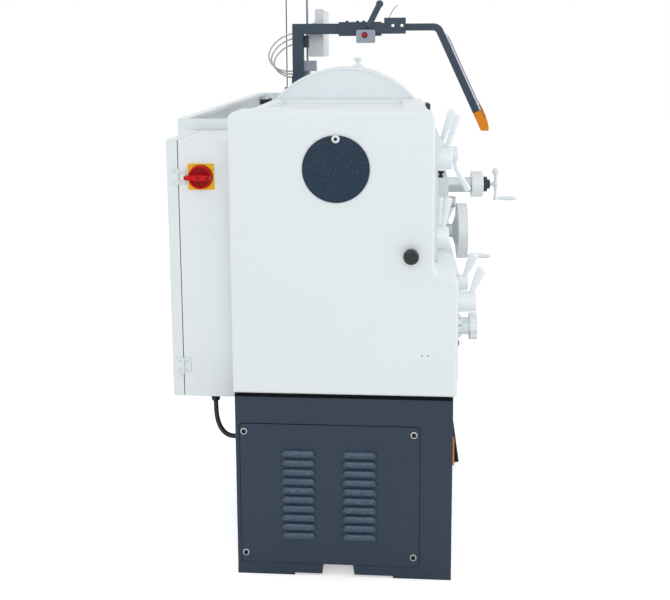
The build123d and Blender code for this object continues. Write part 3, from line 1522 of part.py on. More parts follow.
def ball_crank(seat, out, up, arms, shaft_end):
    # Hub ball on a shaft, a counterweight ball above and a small boss below for the handle
    seat, out, up = Vector(seat), Vector(out), Vector(up)
    top, low = seat + up * arms[0], seat - up * arms[1]
    crank = Pos(seat) * Sphere(crank_ball_r)
    crank += Pos(top) * Sphere(crank_top_ball_r)
    crank += grip(low, top, crank_arm_r - crank_arm_taper, crank_arm_r, crank_arm_taper)
    crank += Pos(low) * Sphere(crank_boss_r)
    reach = (Vector(shaft_end) - seat).length
    crank += Plane(seat, z_dir=-out) * Pos(0, 0, reach / 2) * Cylinder(cross_shaft_r, reach)
    crank -= Plane(low, z_dir=out) * Cylinder(handle_pin_r + run_fit, crank_bore)
    return crank


cross_crank = ball_crank(
    (dovetail_x, crank_y, cross_z), (0, -1, 0), (0, 0, 1), crank_arms,
    (dovetail_x, cross_shaft_end - shaft_rest, cross_z),
)
cross_handle_seat = (dovetail_x, crank_y - crank_boss_r, cross_z - crank_arms[1])
cross_handle = turning_handle(
    cross_handle_seat, (0, -1, 0), crank_handle_length, crank_bulge_r, handle_pin_r, 2 * crank_arm_r
)
cross_scale = block(scale_x, (scale_end_y, bridge_front_y), scale_z)
lock_top_z = saddle_top_z + lock_height
saddle_lock = rod_z(lock_stem_r, lock_x, lock_y, (saddle_top_z - lock_depth + shaft_rest, lock_top_z))
saddle_lock += rod_on_y(
    lock_bar_r, lock_x, (lock_y - lock_bar / 2, lock_y + lock_bar / 2), lock_top_z - lock_bar_drop
)
saddle_lock += rod_z(lock_collar_r, lock_x, lock_y, (saddle_top_z + face_gap, saddle_top_z + lock_collar))

# Cross slide on the dovetail, with a swivel boss for the top slide
cross_slide = block(cross_slide_x, cross_slide_y, (saddle_top_z + slide_gap, cross_slide_z1))
cross_slide -= along_y(dovetail(slide_gap), (cross_slide_y[0] - 1, cross_slide_y[1] + 1))
swivel_x = (cross_slide_x[0] + cross_slide_x[1]) / 2
swivel_z1 = cross_slide_z1 + swivel_height
swivel_base = rod_z(swivel_r, swivel_x, top_slide_y, (cross_slide_z1, swivel_z1))
rail_y = (top_slide_y - top_rail_half, top_slide_y + top_rail_half)
swivel_base += block(top_rail_x, rail_y, (swivel_z1 - swivel_bite, swivel_z1 + top_rail_height))

# Top slide over its rail, with a ball crank at its tail end
top_slide = block(
    top_slide_x, (top_slide_y - top_slide_half, top_slide_y + top_slide_half),
    (swivel_z1 + slide_gap, top_slide_z1),
)
top_slide -= block(
    (top_slide_x[0] - 1, top_slide_x[1] + 1), (rail_y[0] - slide_gap, rail_y[1] + slide_gap),
    (swivel_z1 - 1, swivel_z1 + top_rail_height + slide_gap),
)
top_screw_z = (swivel_z1 + top_rail_height + top_slide_z1) / 2
top_shaft_x = top_slide_x[1] - top_shaft_depth
top_slide -= rod_x(cross_shaft_r + run_fit, (top_shaft_x, top_slide_x[1] + 1), top_slide_y, top_screw_z)
top_crank = ball_crank(
    (top_slide_x[1] + top_crank_reach, top_slide_y, top_screw_z), (1, 0, 0), (0, 1, 0), top_crank_arms,
    (top_shaft_x + shaft_rest, top_slide_y, top_screw_z),
)
top_dial_x = (top_slide_x[1] + face_gap, top_slide_x[1] + top_dial)
top_crank += rod_x(top_dial_r, top_dial_x, top_slide_y, top_screw_z)
top_handle = turning_handle(
    (top_slide_x[1] + top_crank_reach + crank_boss_r, top_slide_y - top_crank_arms[1], top_screw_z),
    (1, 0, 0),
    top_handle_length, crank_bulge_r, handle_pin_r, 2 * crank_arm_r,
)

# Four-way tool post with its clamping lever
post_x = (tool_post_x - tool_post_half, tool_post_x + tool_post_half)
post_sides = (top_slide_y - tool_post_half, top_slide_y + tool_post_half)
post_z0 = top_slide_z1 + face_gap
tool_post = block(post_x, post_sides, (post_z0, tool_post_z1))
slot_z = (tool_post_z1 - tool_slot_drop - tool_slot_height, tool_post_z1 - tool_slot_drop)
for quarter in range(4):
    spin = Pos(tool_post_x, top_slide_y, 0) * Rot(0, 0, 90 * quarter) * Pos(-tool_post_x, -top_slide_y, 0)
    slot = block(
        (post_x[0] - 1, post_x[1] + 1), (post_sides[0] - 1, post_sides[0] + tool_slot_depth), slot_z
    )
    tool_post -= spin * slot
bolt_z = (top_slide_z1 - post_bolt_depth, tool_post_z1 + post_bolt_rise)
tool_post -= rod_z(post_bolt_r + run_fit, tool_post_x, top_slide_y, (post_z0 - 1, tool_post_z1 + 1))
top_slide -= rod_z(post_bolt_r + run_fit, tool_post_x, top_slide_y, (bolt_z[0], top_slide_z1 + 1))
post_lever = rod_z(post_bolt_r, tool_post_x, top_slide_y, bolt_z)
nut_z = (tool_post_z1 + face_gap, tool_post_z1 + post_nut)
post_lever += rod_z(post_nut_r, tool_post_x, top_slide_y, nut_z)
post_lever += grip(
    (tool_post_x, top_slide_y, tool_post_z1 + post_lever_z[0]),
    (
        tool_post_x + post_lever_reach * post_lever_turn[0],
        top_slide_y + post_lever_reach * post_lever_turn[1],
        tool_post_z1 + post_lever_z[1],
    ),
    lever_root_r, lever_end_r, grip_end_round,
)

# Guard frame: square tube post in a sleeve on the saddle, and a beam over the carriage
def square_tube(x, y, z, axis):
    inset = {"y": (tube_wall, 0, tube_wall), "z": (tube_wall, tube_wall, 0)}[axis]
    pairs = [(low + edge, high - edge) for (low, high), edge in zip((x, y, z), inset)]
    return block(x, y, z) - block(*pairs)


sleeve_x = (frame_x[0] - sleeve_extra, frame_x[1] + sleeve_extra)
sleeve_y = (post_y[0] - sleeve_extra, post_y[1] + sleeve_extra)
guard_post = square_tube(frame_x, post_y, (sleeve_top_z, frame_top_z), "z")
guard_post += block(sleeve_x, sleeve_y, (saddle_top_z, sleeve_top_z)) - block(
    (sleeve_x[0] + sleeve_wall, sleeve_x[1] - sleeve_wall),
    (sleeve_y[0] + sleeve_wall, sleeve_y[1] - sleeve_wall),
    (saddle_top_z + sleeve_floor, sleeve_top_z + 1),
)
guard_post += square_tube(frame_x, (beam_end_y, post_y[1]), (beam_z0, frame_top_z), "y")
lift_y, lift_z = lift_pivot
cheek_x = (
    (frame_x[0] - cheek_gap - cheek_thick, frame_x[0] - cheek_gap),
    (frame_x[1] + cheek_gap, frame_x[1] + cheek_gap + cheek_thick),
)
guard_bracket = block((cheek_x[0][0], cheek_x[1][1]), cheek_y, (frame_top_z, frame_top_z + cheek_thick))
for side_x in cheek_x:
    guard_bracket += block(side_x, cheek_y, (cheek_z0, frame_top_z + cheek_thick))
plate_x = (
    (cheek_x[0][0] - face_gap - arm_plate, cheek_x[0][0] - face_gap),
    (cheek_x[1][1] + face_gap, cheek_x[1][1] + face_gap + arm_plate),
)
pin_hole = rod_x(lift_pin_r + run_fit, (plate_x[0][0] - 1, plate_x[1][1] + 1), lift_y, lift_z)
guard_bracket -= pin_hole
guard_post -= pin_hole
lift_pin = rod_x(lift_pin_r, (plate_x[0][0], plate_x[1][1]), lift_y, lift_z)

# Lifting arm: clamp block, bent square tube, side plates on the pin and a short lever
guard_arm = block((plate_x[0][0], plate_x[1][1]), clamp_y, clamp_z)
for side_x in plate_x:
    cheek = block(side_x, (clamp_y[1] - arm_plate_lap, lift_y), (lift_z - arm_plate_r, lift_z + arm_plate_r))
    cheek += rod_x(arm_plate_r, side_x, lift_y, lift_z)
    guard_arm += cheek
lever_x = (plate_x[0][0] - lever_thick, plate_x[0][0])
lever_reach = Vector(0, lever_tip[0] - lift_y, lever_tip[1] - lift_z)
lever_turn = Vector(0, 1, 0).get_signed_angle(lever_reach, Vector(1, 0, 0))
lever_bar = Plane.YZ.offset(lever_x[0]) * Pos(lift_y, lift_z) * Rot(0, 0, lever_turn) * (
    Pos(lever_reach.length / 2, 0) * Rectangle(lever_reach.length, lever_width)
    + Pos(lever_reach.length, 0) * Circle(lever_eye_r) + Circle(lever_foot_r)
)
guard_arm += extrude(lever_bar, lever_x[1] - lever_x[0])
guard_arm -= rod_x(lift_pin_r + run_fit, (lever_x[0] - 1, plate_x[1][1] + 1), lift_y, lift_z)
arm_middle_x = (frame_x[0] + frame_x[1]) / 2
arm_start = (arm_middle_x, clamp_y[0] + arm_start_lap, arm_z)
arm_path = FilletPolyline(
    arm_start, (arm_middle_x, *arm_bend), (arm_middle_x, *arm_end), radius=arm_bend_r
)
arm_hollow = arm_tube - 2 * tube_wall
arm_section = Plane(arm_start, x_dir=(1, 0, 0), z_dir=(0, -1, 0)) * (
    Rectangle(arm_tube, arm_tube) - Rectangle(arm_hollow, arm_hollow)
)
guard_arm += sweep(arm_section, path=arm_path)

# Clear shield in front of the sloping arm and the orange grip along its lower edge
slope = (Vector(0, *arm_end) - Vector(0, *arm_bend)).normalized()
outward = Vector(0, slope.Z, -slope.Y)


def on_slope(along, out):
    place = Vector(0, *arm_end) + slope * along + outward * out
    return (place.Y, place.Z)


shield_near_x = arm_middle_x - arm_tube / 2
shield_x = (shield_near_x, shield_near_x + shield_width)
slope_length = (Vector(0, *arm_end) - Vector(0, *arm_bend)).length
shield_out = arm_tube / 2 + shield_gap
shield_face = shield_out + shield_thick + face_gap
shield_top = shield_start - slope_length
guard_shield = along_x(
    [
        on_slope(shield_top, shield_out), on_slope(shield_drop, shield_out),
        on_slope(shield_drop, shield_out + shield_thick), on_slope(shield_top, shield_out + shield_thick),
    ],
    shield_x,
)
pad_out = arm_tube / 2 - arm_pad_bite
for along in (arm_pads[0] - slope_length, -arm_pads[1]):
    corners = [
        on_slope(along, pad_out), on_slope(along + arm_pad, pad_out),
        on_slope(along + arm_pad, shield_out), on_slope(along, shield_out),
    ]
    guard_arm += along_x(corners, (arm_middle_x - arm_tube / 2, arm_middle_x + arm_tube / 2))
guard_handle = along_x(
    [
        on_slope(face_gap, -arm_tube / 2), on_slope(handle_nose[1], -arm_tube / 2),
        on_slope(handle_nose[2], handle_nose_out), on_slope(handle_nose[0], shield_face),
        on_slope(-handle_rise, shield_face + handle_flange), on_slope(-handle_rise, shield_face),
        on_slope(handle_slot, shield_face), on_slope(handle_slot, shield_out - face_gap),
        on_slope(face_gap, shield_out - face_gap),
    ],
    shield_x,
)

# Limit switch on a plate below the bracket
limit_switch = block(switch_box_x, switch_box_y, switch_box_z)
limit_switch = fillet(limit_switch.edges().filter_by(Axis.X), switch_box_r)
limit_switch += block(
    (switch_box_x[1] - switch_tab_bite, cheek_x[0][1]),
    (switch_box_y[0] + switch_tab_inset, switch_box_y[1] - switch_tab_inset),
    (cheek_z0 - switch_tab, cheek_z0),
)

# Position readout on the post, with its bracket, cable clip and leads
readout = along_x(
    [
        (readout_y[0], readout_z[0]), (readout_y[1], readout_z[0]),
        (readout_y[1], readout_neck_z - readout_shoulder),
        (readout_neck_y, readout_neck_z), (readout_neck_y, readout_z[1]), (readout_y[0], readout_z[1]),
    ],
    readout_x,
)
readout = fillet(readout.edges().filter_by(Axis.X), readout_edge_r)
readout_bracket = block(
    (frame_x[1], readout_x[0] + readout_bracket_lap[0]), (readout_y[1], post_y[0] + readout_bracket_lap[1]),
    readout_bracket_z,
)
cable_clip = block(clip_x, clip_y, clip_z)
cable_clip += block(
    (frame_x[1] - post_clip[0], frame_x[1]), (post_y[0] - post_clip[1], post_y[0]), post_clip_z
)

lead_routes = [
    [
        (172, 1428), (206, 1428), (246, 1421), (284, 1403), (314, 1375),
        (328, 1338), (314, 1306), (284, 1288), (254, 1283), (227, 1283),
    ],
    [
        (172, 1410), (204, 1410), (242, 1403), (278, 1386), (306, 1359),
        (320, 1326), (306, 1296), (278, 1279), (252, 1272), (227, 1272),
    ],
    [
        (172, 1390), (202, 1390), (238, 1383), (272, 1367), (298, 1342),
        (311, 1312), (298, 1285), (273, 1268), (249, 1260), (227, 1260),
    ],
]
readout_leads = []
for index, route in enumerate(lead_routes):
    lead_x = readout_x[0] + lead_first + index * lead_shift
    readout_leads.append(cord([(lead_x, y, z) for y, z in route], lead_r, f"readout_lead_{index}"))

# Tailstock: base on the ways, body with the quill housing, quill, centre and handwheel
tail_base = block(tail_x, (-tail_base_half, tail_base_half), (way_z + slide_gap, tail_base_z1))
tail_base -= along_x(vee(slide_gap), (tail_x[0] - 1, tail_x[1] + 1))
tail_base = chamfer(tail_base.edges().filter_by(Axis.X).group_by(Axis.Z)[-1], tail_base_edge)
tail_body = along_x(
    [
        (-tail_body_half, tail_base_z1), (tail_body_half, tail_base_z1),
        (tail_neck_half, spindle_z), (-tail_neck_half, spindle_z),
    ],
    tail_body_x,
)
tail_body += rod_x(quill_house_r, tail_body_x, 0, spindle_z)
tail_wall_x = tail_body_x[1] - quill_house_wall
tail_body -= rod_x(quill_r + run_fit, (tail_body_x[0] - 1, tail_wall_x), 0, spindle_z)
tail_body -= rod_x(tail_screw_r + run_fit, (tail_wall_x - 1, tail_body_x[1] + 1), 0, spindle_z)
clamp_top_z = spindle_z + quill_house_r
lock_seat_z = spindle_z + quill_r + lock_floor
tail_clamp_y = -tail_body_half
tail_clamp_z = tail_base_z1 + tail_clamp_rise
tail_body -= rod_z(clamp_stem_r + run_fit, quill_lock_x, 0, (lock_seat_z, clamp_top_z + 1))
tail_body -= rod_on_y(
    clamp_stem_r + run_fit, tail_clamp_x, (tail_clamp_y - 1, tail_clamp_y + clamp_depth), tail_clamp_z
)
quill_end_x = tail_body_x[1] - quill_end_gap
quill = rod_x(quill_r, (quill_tip_x, quill_end_x), 0, spindle_z)
quill -= rod_x(
    tail_screw_r + tail_screw_gap, (tail_body_x[1] - quill_hollow, quill_end_x + 1), 0, spindle_z
)
quill -= rod_x(centre_stem_r + run_fit, (quill_tip_x - 1, quill_tip_x + centre_bore), 0, spindle_z)
tail_centre = turned(
    [
        (0, -centre_length), (centre_r, -centre_collar), (centre_r, 0), (centre_stem_r, 0),
        (centre_stem_r, centre_stem), (0, centre_stem),
    ],
    (quill_tip_x, 0, spindle_z), (1, 0, 0),
)
tail_wheel_seat = tail_body_x[1] + face_gap
wheel_out = tail_wheel_x[0] - tail_wheel_seat
rim_in = tail_wheel_x[1] - tail_wheel_seat
tail_rim_r = tail_wheel_r - tail_rim
tail_wheel = turned(
    [
        (0, 0), (tail_wheel_hub_r, 0), (tail_wheel_hub_r, tail_hub_x[0]), (tail_rim_r, wheel_out + tail_lip),
        (tail_rim_r, wheel_out), (tail_wheel_r, wheel_out), (tail_wheel_r, rim_in), (tail_rim_r, rim_in),
        (tail_rim_r, wheel_out + tail_web), (tail_wheel_hub_r, tail_hub_x[1]),
        (tail_wheel_hub_r - tail_hub_taper, tail_hub_reach), (0, tail_hub_reach),
    ],
    (tail_wheel_seat, 0, spindle_z), (1, 0, 0),
)
tail_wheel += rod_x(tail_screw_r, (tail_body_x[1] - tail_screw_length, tail_wheel_seat + 1), 0, spindle_z)
tail_handle_z = spindle_z + tail_wheel_r - tail_rim / 2
tail_wheel -= rod_x(
    handle_pin_r + run_fit, (tail_wheel_x[1] - tail_handle_bore, tail_wheel_x[1] + 1), 0, tail_handle_z
)
tail_handle = turning_handle(
    (tail_wheel_x[1], 0, tail_handle_z), (1, 0, 0), tail_handle_length, crank_bulge_r, handle_pin_r,
    tail_handle_bore - handle_bore_rest,
)
quill_lock = rod_z(clamp_stem_r, quill_lock_x, 0, (lock_seat_z + shaft_rest, clamp_top_z + lock_stem_rise))
quill_lock += rod_z(lock_hub_r, quill_lock_x, 0, (clamp_top_z + face_gap, clamp_top_z + lock_hub))
quill_lock += grip(
    (quill_lock_x, 0, clamp_top_z + lock_grip_z[0]),
    (quill_lock_x, lock_grip_y, clamp_top_z + lock_grip_z[1]),
    lever_root_r, lever_end_r, grip_end_round,
)
clamp_end_y = tail_clamp_y - clamp_hub
tail_clamp = rod_on_y(
    clamp_stem_r, tail_clamp_x, (clamp_end_y, tail_clamp_y + clamp_depth - stem_rest), tail_clamp_z
)
tail_clamp += rod_on_y(clamp_hub_r, tail_clamp_x, (clamp_end_y, tail_clamp_y - face_gap), tail_clamp_z)
tail_clamp += grip(
    (tail_clamp_x, tail_clamp_y - clamp_grip_y[0], tail_clamp_z),
    (tail_clamp_x, tail_clamp_y - clamp_grip_y[1], tail_clamp_z + clamp_grip_rise),
    lever_root_r, lever_end_r, grip_end_round,
)

# Foot brake: shaft between the cabinets and a folded pedal on two arms
brake_y, brake_z = brake_pivot
brake_shaft = rod_x(brake_shaft_r, (head_x1, tail_cabinet_x0), brake_y, brake_z)
brake_pedal = along_x(
    [
        brake_top, brake_low, (brake_low[0] + brake_fold, brake_low[1] - brake_toe),
        (brake_low[0] + brake_fold, brake_low[1] - brake_toe + brake_thick),
        (brake_low[0] + brake_thick, brake_low[1] + brake_thick),
        (brake_top[0] + brake_thick, brake_top[1] - brake_thick),
        (brake_top[0] + brake_fold, brake_top[1] - brake_thick), (brake_top[0] + brake_fold, brake_top[1]),
    ],
    brake_x,
)
for arm_near in (brake_x[0] + brake_arm_inset, brake_x[1] - brake_arm_inset - brake_arm):
    arm_far = arm_near + brake_arm
    brake_arm_plate = along_x(
        [
            (brake_y, brake_z - brake_arm_half), (brake_y, brake_z + brake_arm_half),
            (brake_top[0] + brake_thick / 2, brake_top[1] - brake_thick),
            (brake_top[0] - brake_arm_foot[0], brake_top[1] - brake_arm_foot[1]),
        ],
        (arm_near, arm_far),
    )
    brake_arm_plate += rod_x(brake_hub_r, (arm_near, arm_far), brake_y, brake_z)
    brake_pedal += brake_arm_plate
brake_pedal -= rod_x(brake_shaft_r + run_fit, (brake_x[0], brake_x[1]), brake_y, brake_z)

# Two thin uprights: one beside the readout, one on the far end of the splash guard
rear_upright = rod_z(rear_rod_r, *rear_rod, (clip_z[1], rear_rod_top))
far_rod_x = splash_x[1] - splash_sheet / 2
far_foot = rod_z(far_foot_r, far_rod_x, far_rod_y, (splash_top_z, splash_top_z + far_foot_height))
far_upright = far_foot + rod_z(far_rod_r, far_rod_x, far_rod_y, (splash_top_z + 1, far_rod_top))

parts = {
    "head_cabinet": [head_cabinet],
    "tail_cabinet": [tail_cabinet],
    "louvre_panel": [louvre_panel],
    "chip_tray": [chip_tray],
    "bed": [bed, rack, rod_bracket],
    "headstock": [headstock],
    "feed_gearbox": [gearbox, feed_dial],
    "black_fittings": [
        *spindle_bearings, gear_arm, motor_mount, brake_shaft, *cover_hinges, guard_hinge, oil_plug,
        cable_gland, base_grommet, far_upright,
    ],
    "motor": [motor],
    "drive_belt": [drive_belt],
    "electrics_cabinet": [electrics_cabinet, electrics_plate, *door_hinges],
    "switch_plate": [switch_square],
    "motor_cable": [motor_cable],
    "splash_guard": [splash_guard],
    "spindle_and_chuck": [spindle, chuck, *jaws],
    "head_pulley": [head_pulley],
    "motor_pulley": [motor_pulley],
    "stud_gear": [stud_gear],
    "idler_gear": [idler_gear],
    "input_gear": [input_gear],
    "lead_screw": [lead_screw],
    "feed_rod": [feed_rod],
    "end_cover": [end_cover, disc_screw],
    "bar_disc": [bar_disc],
    "cover_knob": [cover_knob],
    "direction_lever": [direction_lever],
    "star_knob": [star_knob],
    "electrics_door": [electrics_door],
    "main_switch": [main_switch],
    "chuck_guard": [chuck_guard, guard_knob, guard_grip],
    "saddle": [saddle, apron, cross_bracket],
    "apron_wheel": [apron_wheel, wheel_handle],
    "feed_selector": [feed_selector],
    "half_nut_lever": [half_nut_lever],
    "cross_crank": [cross_crank, cross_dial, cross_handle],
    "cross_ring": [cross_ring],
    "saddle_lock": [saddle_lock],
    "cross_slide": [cross_slide, swivel_base],
    "top_slide": [top_slide],
    "top_crank": [top_crank, top_handle],
    "tool_post": [tool_post, post_lever],
    "guard_post": [guard_post, guard_bracket, lift_pin, readout_bracket],
    "guard_arm": [guard_arm],
    "guard_shield": [guard_shield],
    "guard_handle": [guard_handle],
    "carriage_fittings": [cross_scale, limit_switch, cable_clip, rear_upright],
    "readout": [readout],
    "readout_leads": readout_leads,
    "tailstock": [tail_base, tail_body],
    "quill": [quill, tail_centre],
    "tail_wheel": [tail_wheel, tail_handle],
    "tail_clamp": [tail_clamp],
    "quill_lock": [quill_lock],
    "brake_pedal": [brake_pedal],
}
parts.update({name: [lever] for name, lever in head_levers.items()})
for name, solids in parts.items():
    save(name, solids)
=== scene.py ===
import math

import bpy
import numpy as np
from mathutils import Matrix


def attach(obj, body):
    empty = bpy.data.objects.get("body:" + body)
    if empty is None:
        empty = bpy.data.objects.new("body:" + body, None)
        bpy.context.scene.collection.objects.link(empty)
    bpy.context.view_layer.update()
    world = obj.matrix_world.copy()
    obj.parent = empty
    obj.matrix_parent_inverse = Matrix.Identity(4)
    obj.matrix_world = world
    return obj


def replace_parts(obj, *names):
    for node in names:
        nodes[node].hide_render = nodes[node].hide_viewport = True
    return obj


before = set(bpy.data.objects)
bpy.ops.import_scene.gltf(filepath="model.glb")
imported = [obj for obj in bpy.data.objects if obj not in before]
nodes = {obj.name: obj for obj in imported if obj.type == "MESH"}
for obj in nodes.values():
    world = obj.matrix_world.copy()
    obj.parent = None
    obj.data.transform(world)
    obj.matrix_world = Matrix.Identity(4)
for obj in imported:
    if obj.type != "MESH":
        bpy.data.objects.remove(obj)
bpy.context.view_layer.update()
scene = bpy.context.scene
print("stage: frame loaded,", len(nodes), "nodes")


def linear(colour):  # "#RRGGBB" as seen on a screen to linear light
    values = [int(colour[i:i + 2], 16) / 255 for i in (1, 3, 5)]
    return [v / 12.92 if v <= 0.04045 else ((v + 0.055) / 1.055) ** 2.4 for v in values] + [1.0]


def addNode(tree, kind, inputs=None, **settings):  # inputs are constants or the sockets that feed them
    node = tree.nodes.new(kind)
    for name, value in settings.items():
        setattr(node, name, value)
    for key, value in (inputs or {}).items():
        if isinstance(value, bpy.types.NodeSocket):
            tree.links.new(value, node.inputs[key])
        else:
            node.inputs[key].default_value = value
    return node


def boxMask(tree, place, low, high):  # 1 inside a box of the object, corners in metres, else 0
    middle = [(a + b) / 2 for a, b in zip(low, high)]
    half = [(b - a) / 2 for a, b in zip(low, high)]
    offset = addNode(tree, "ShaderNodeVectorMath", {0: place, 1: middle}, operation="SUBTRACT")
    share = addNode(tree, "ShaderNodeVectorMath", {0: offset.outputs[0], 1: half}, operation="DIVIDE")
    size = addNode(tree, "ShaderNodeVectorMath", {0: share.outputs[0]}, operation="ABSOLUTE")
    parts = addNode(tree, "ShaderNodeSeparateXYZ", {0: size.outputs[0]})
    first = addNode(tree, "ShaderNodeMath", {0: parts.outputs[0], 1: parts.outputs[1]}, operation="MAXIMUM")
    largest = addNode(tree, "ShaderNodeMath", {0: first.outputs[0], 1: parts.outputs[2]},
                      operation="MAXIMUM")
    inside = addNode(tree, "ShaderNodeMath", {0: largest.outputs[0], 1: 1.0}, operation="LESS_THAN")
    return inside.outputs[0]


# A finish is two close colours that drift over the piece, a fine grain that gives relief and roughness, and
# softened edges. drift, grain: sizes in metres; relief: depth of the grain; edge: radius of softened edges.
# The real pebbles, orange peel and turning marks are about 0.2 to 1 mm. That is too fine to show in the
# render, so most grains are drawn two to five times as coarse.
# stretch: a value below 1 draws the grain out along that axis.
# patches: (low corner, high corner, colour, roughness, metallic) boxes where another solid of a node shows.
# knurl: (x, z, ridges, depth) straight ridges cut evenly round an axis along Y.
# speckle: (colour, low, high) painted glints: lighter flecks painted on the crests as the grain rises from
# low to high.
finishDefaults = dict(stretch=(1, 1, 1), metallic=0.0, edge=0.0015, strength=0.5, specular=0.5, coat=0.0,
                      coatRough=0.1, driftDetail=3.0, grainDetail=2.0, edgeSamples=4, patches=())


def makeMaterial(name, ownValues):
    values = {**finishDefaults, **ownValues}
    material = bpy.data.materials.new(name)
    material.use_nodes = True
    tree = material.node_tree
    shader = tree.nodes["Principled BSDF"]
    place = addNode(tree, "ShaderNodeTexCoord").outputs["Object"]
    drift = addNode(tree, "ShaderNodeTexNoise",
                    {"Vector": place, "Scale": 1 / values["drift"], "Detail": values["driftDetail"]})
    along = addNode(tree, "ShaderNodeMapping", {"Vector": place, "Scale": values["stretch"]})
    grain = addNode(tree, "ShaderNodeTexNoise", {"Vector": along.outputs[0], "Scale": 1 / values["grain"],
                                                 "Detail": values["grainDetail"]})
    colour = addNode(tree, "ShaderNodeMix", {0: drift.outputs[0], 6: linear(values["colours"][0]),
                                             7: linear(values["colours"][1])}, data_type="RGBA").outputs[2]
    # painted glints: a lighter colour painted on the crests of the grain
    if "painted_glints" in values:
        glintColour, low, high = values["painted_glints"]
        share = addNode(tree, "ShaderNodeMapRange", {0: grain.outputs[0], 1: low, 2: high})
        colour = addNode(tree, "ShaderNodeMix", {0: share.outputs[0], 6: colour, 7: linear(glintColour)},
                         data_type="RGBA").outputs[2]
    low, high = values["rough"]
    rough = addNode(tree, "ShaderNodeMapRange", {0: grain.outputs[0], 3: low, 4: high}).outputs[0]
    metal = None
    for corner, opposite, patchColour, patchRough, patchMetal in values["patches"]:
        inside = boxMask(tree, place, corner, opposite)
        colour = addNode(tree, "ShaderNodeMix", {0: inside, 6: colour, 7: linear(patchColour)},
                         data_type="RGBA").outputs[2]
        rough = addNode(tree, "ShaderNodeMix", {0: inside, 2: rough, 3: patchRough}).outputs[0]
        source = values["metallic"] if metal is None else metal
        metal = addNode(tree, "ShaderNodeMix", {0: inside, 2: source, 3: patchMetal}).outputs[0]
    soft = addNode(tree, "ShaderNodeBevel", {"Radius": values["edge"]}, samples=values["edgeSamples"])
    bump = addNode(tree, "ShaderNodeBump", {"Height": grain.outputs[0], "Distance": values["relief"],
                                            "Strength": values["strength"], "Normal": soft.outputs[0]})
    if "knurl" in values:
        x, z, ridges, depth = values["knurl"]
        spoke = addNode(tree, "ShaderNodeVectorMath", {0: place, 1: (x, 0, z)}, operation="SUBTRACT")
        parts = addNode(tree, "ShaderNodeSeparateXYZ", {0: spoke.outputs[0]})
        angle = addNode(tree, "ShaderNodeMath", {0: parts.outputs[0], 1: parts.outputs[2]},
                        operation="ARCTAN2")
        turns = addNode(tree, "ShaderNodeMath", {0: angle.outputs[0], 1: ridges}, operation="MULTIPLY")
        wave = addNode(tree, "ShaderNodeMath", {0: turns.outputs[0]}, operation="SINE")
        bump = addNode(tree, "ShaderNodeBump", {"Height": wave.outputs[0], "Distance": depth / 2,
                                                "Strength": 1.0, "Normal": bump.outputs[0]})
    tree.links.new(colour, shader.inputs["Base Color"])
    tree.links.new(rough, shader.inputs["Roughness"])
    tree.links.new(bump.outputs[0], shader.inputs["Normal"])
    if metal is None:
        shader.inputs["Metallic"].default_value = values["metallic"]
    else:
        tree.links.new(metal, shader.inputs["Metallic"])
    shader.inputs["Specular IOR Level"].default_value = values["specular"]
    shader.inputs["Coat Weight"].default_value = values["coat"]
    shader.inputs["Coat Roughness"].default_value = values["coatRough"]
    return material


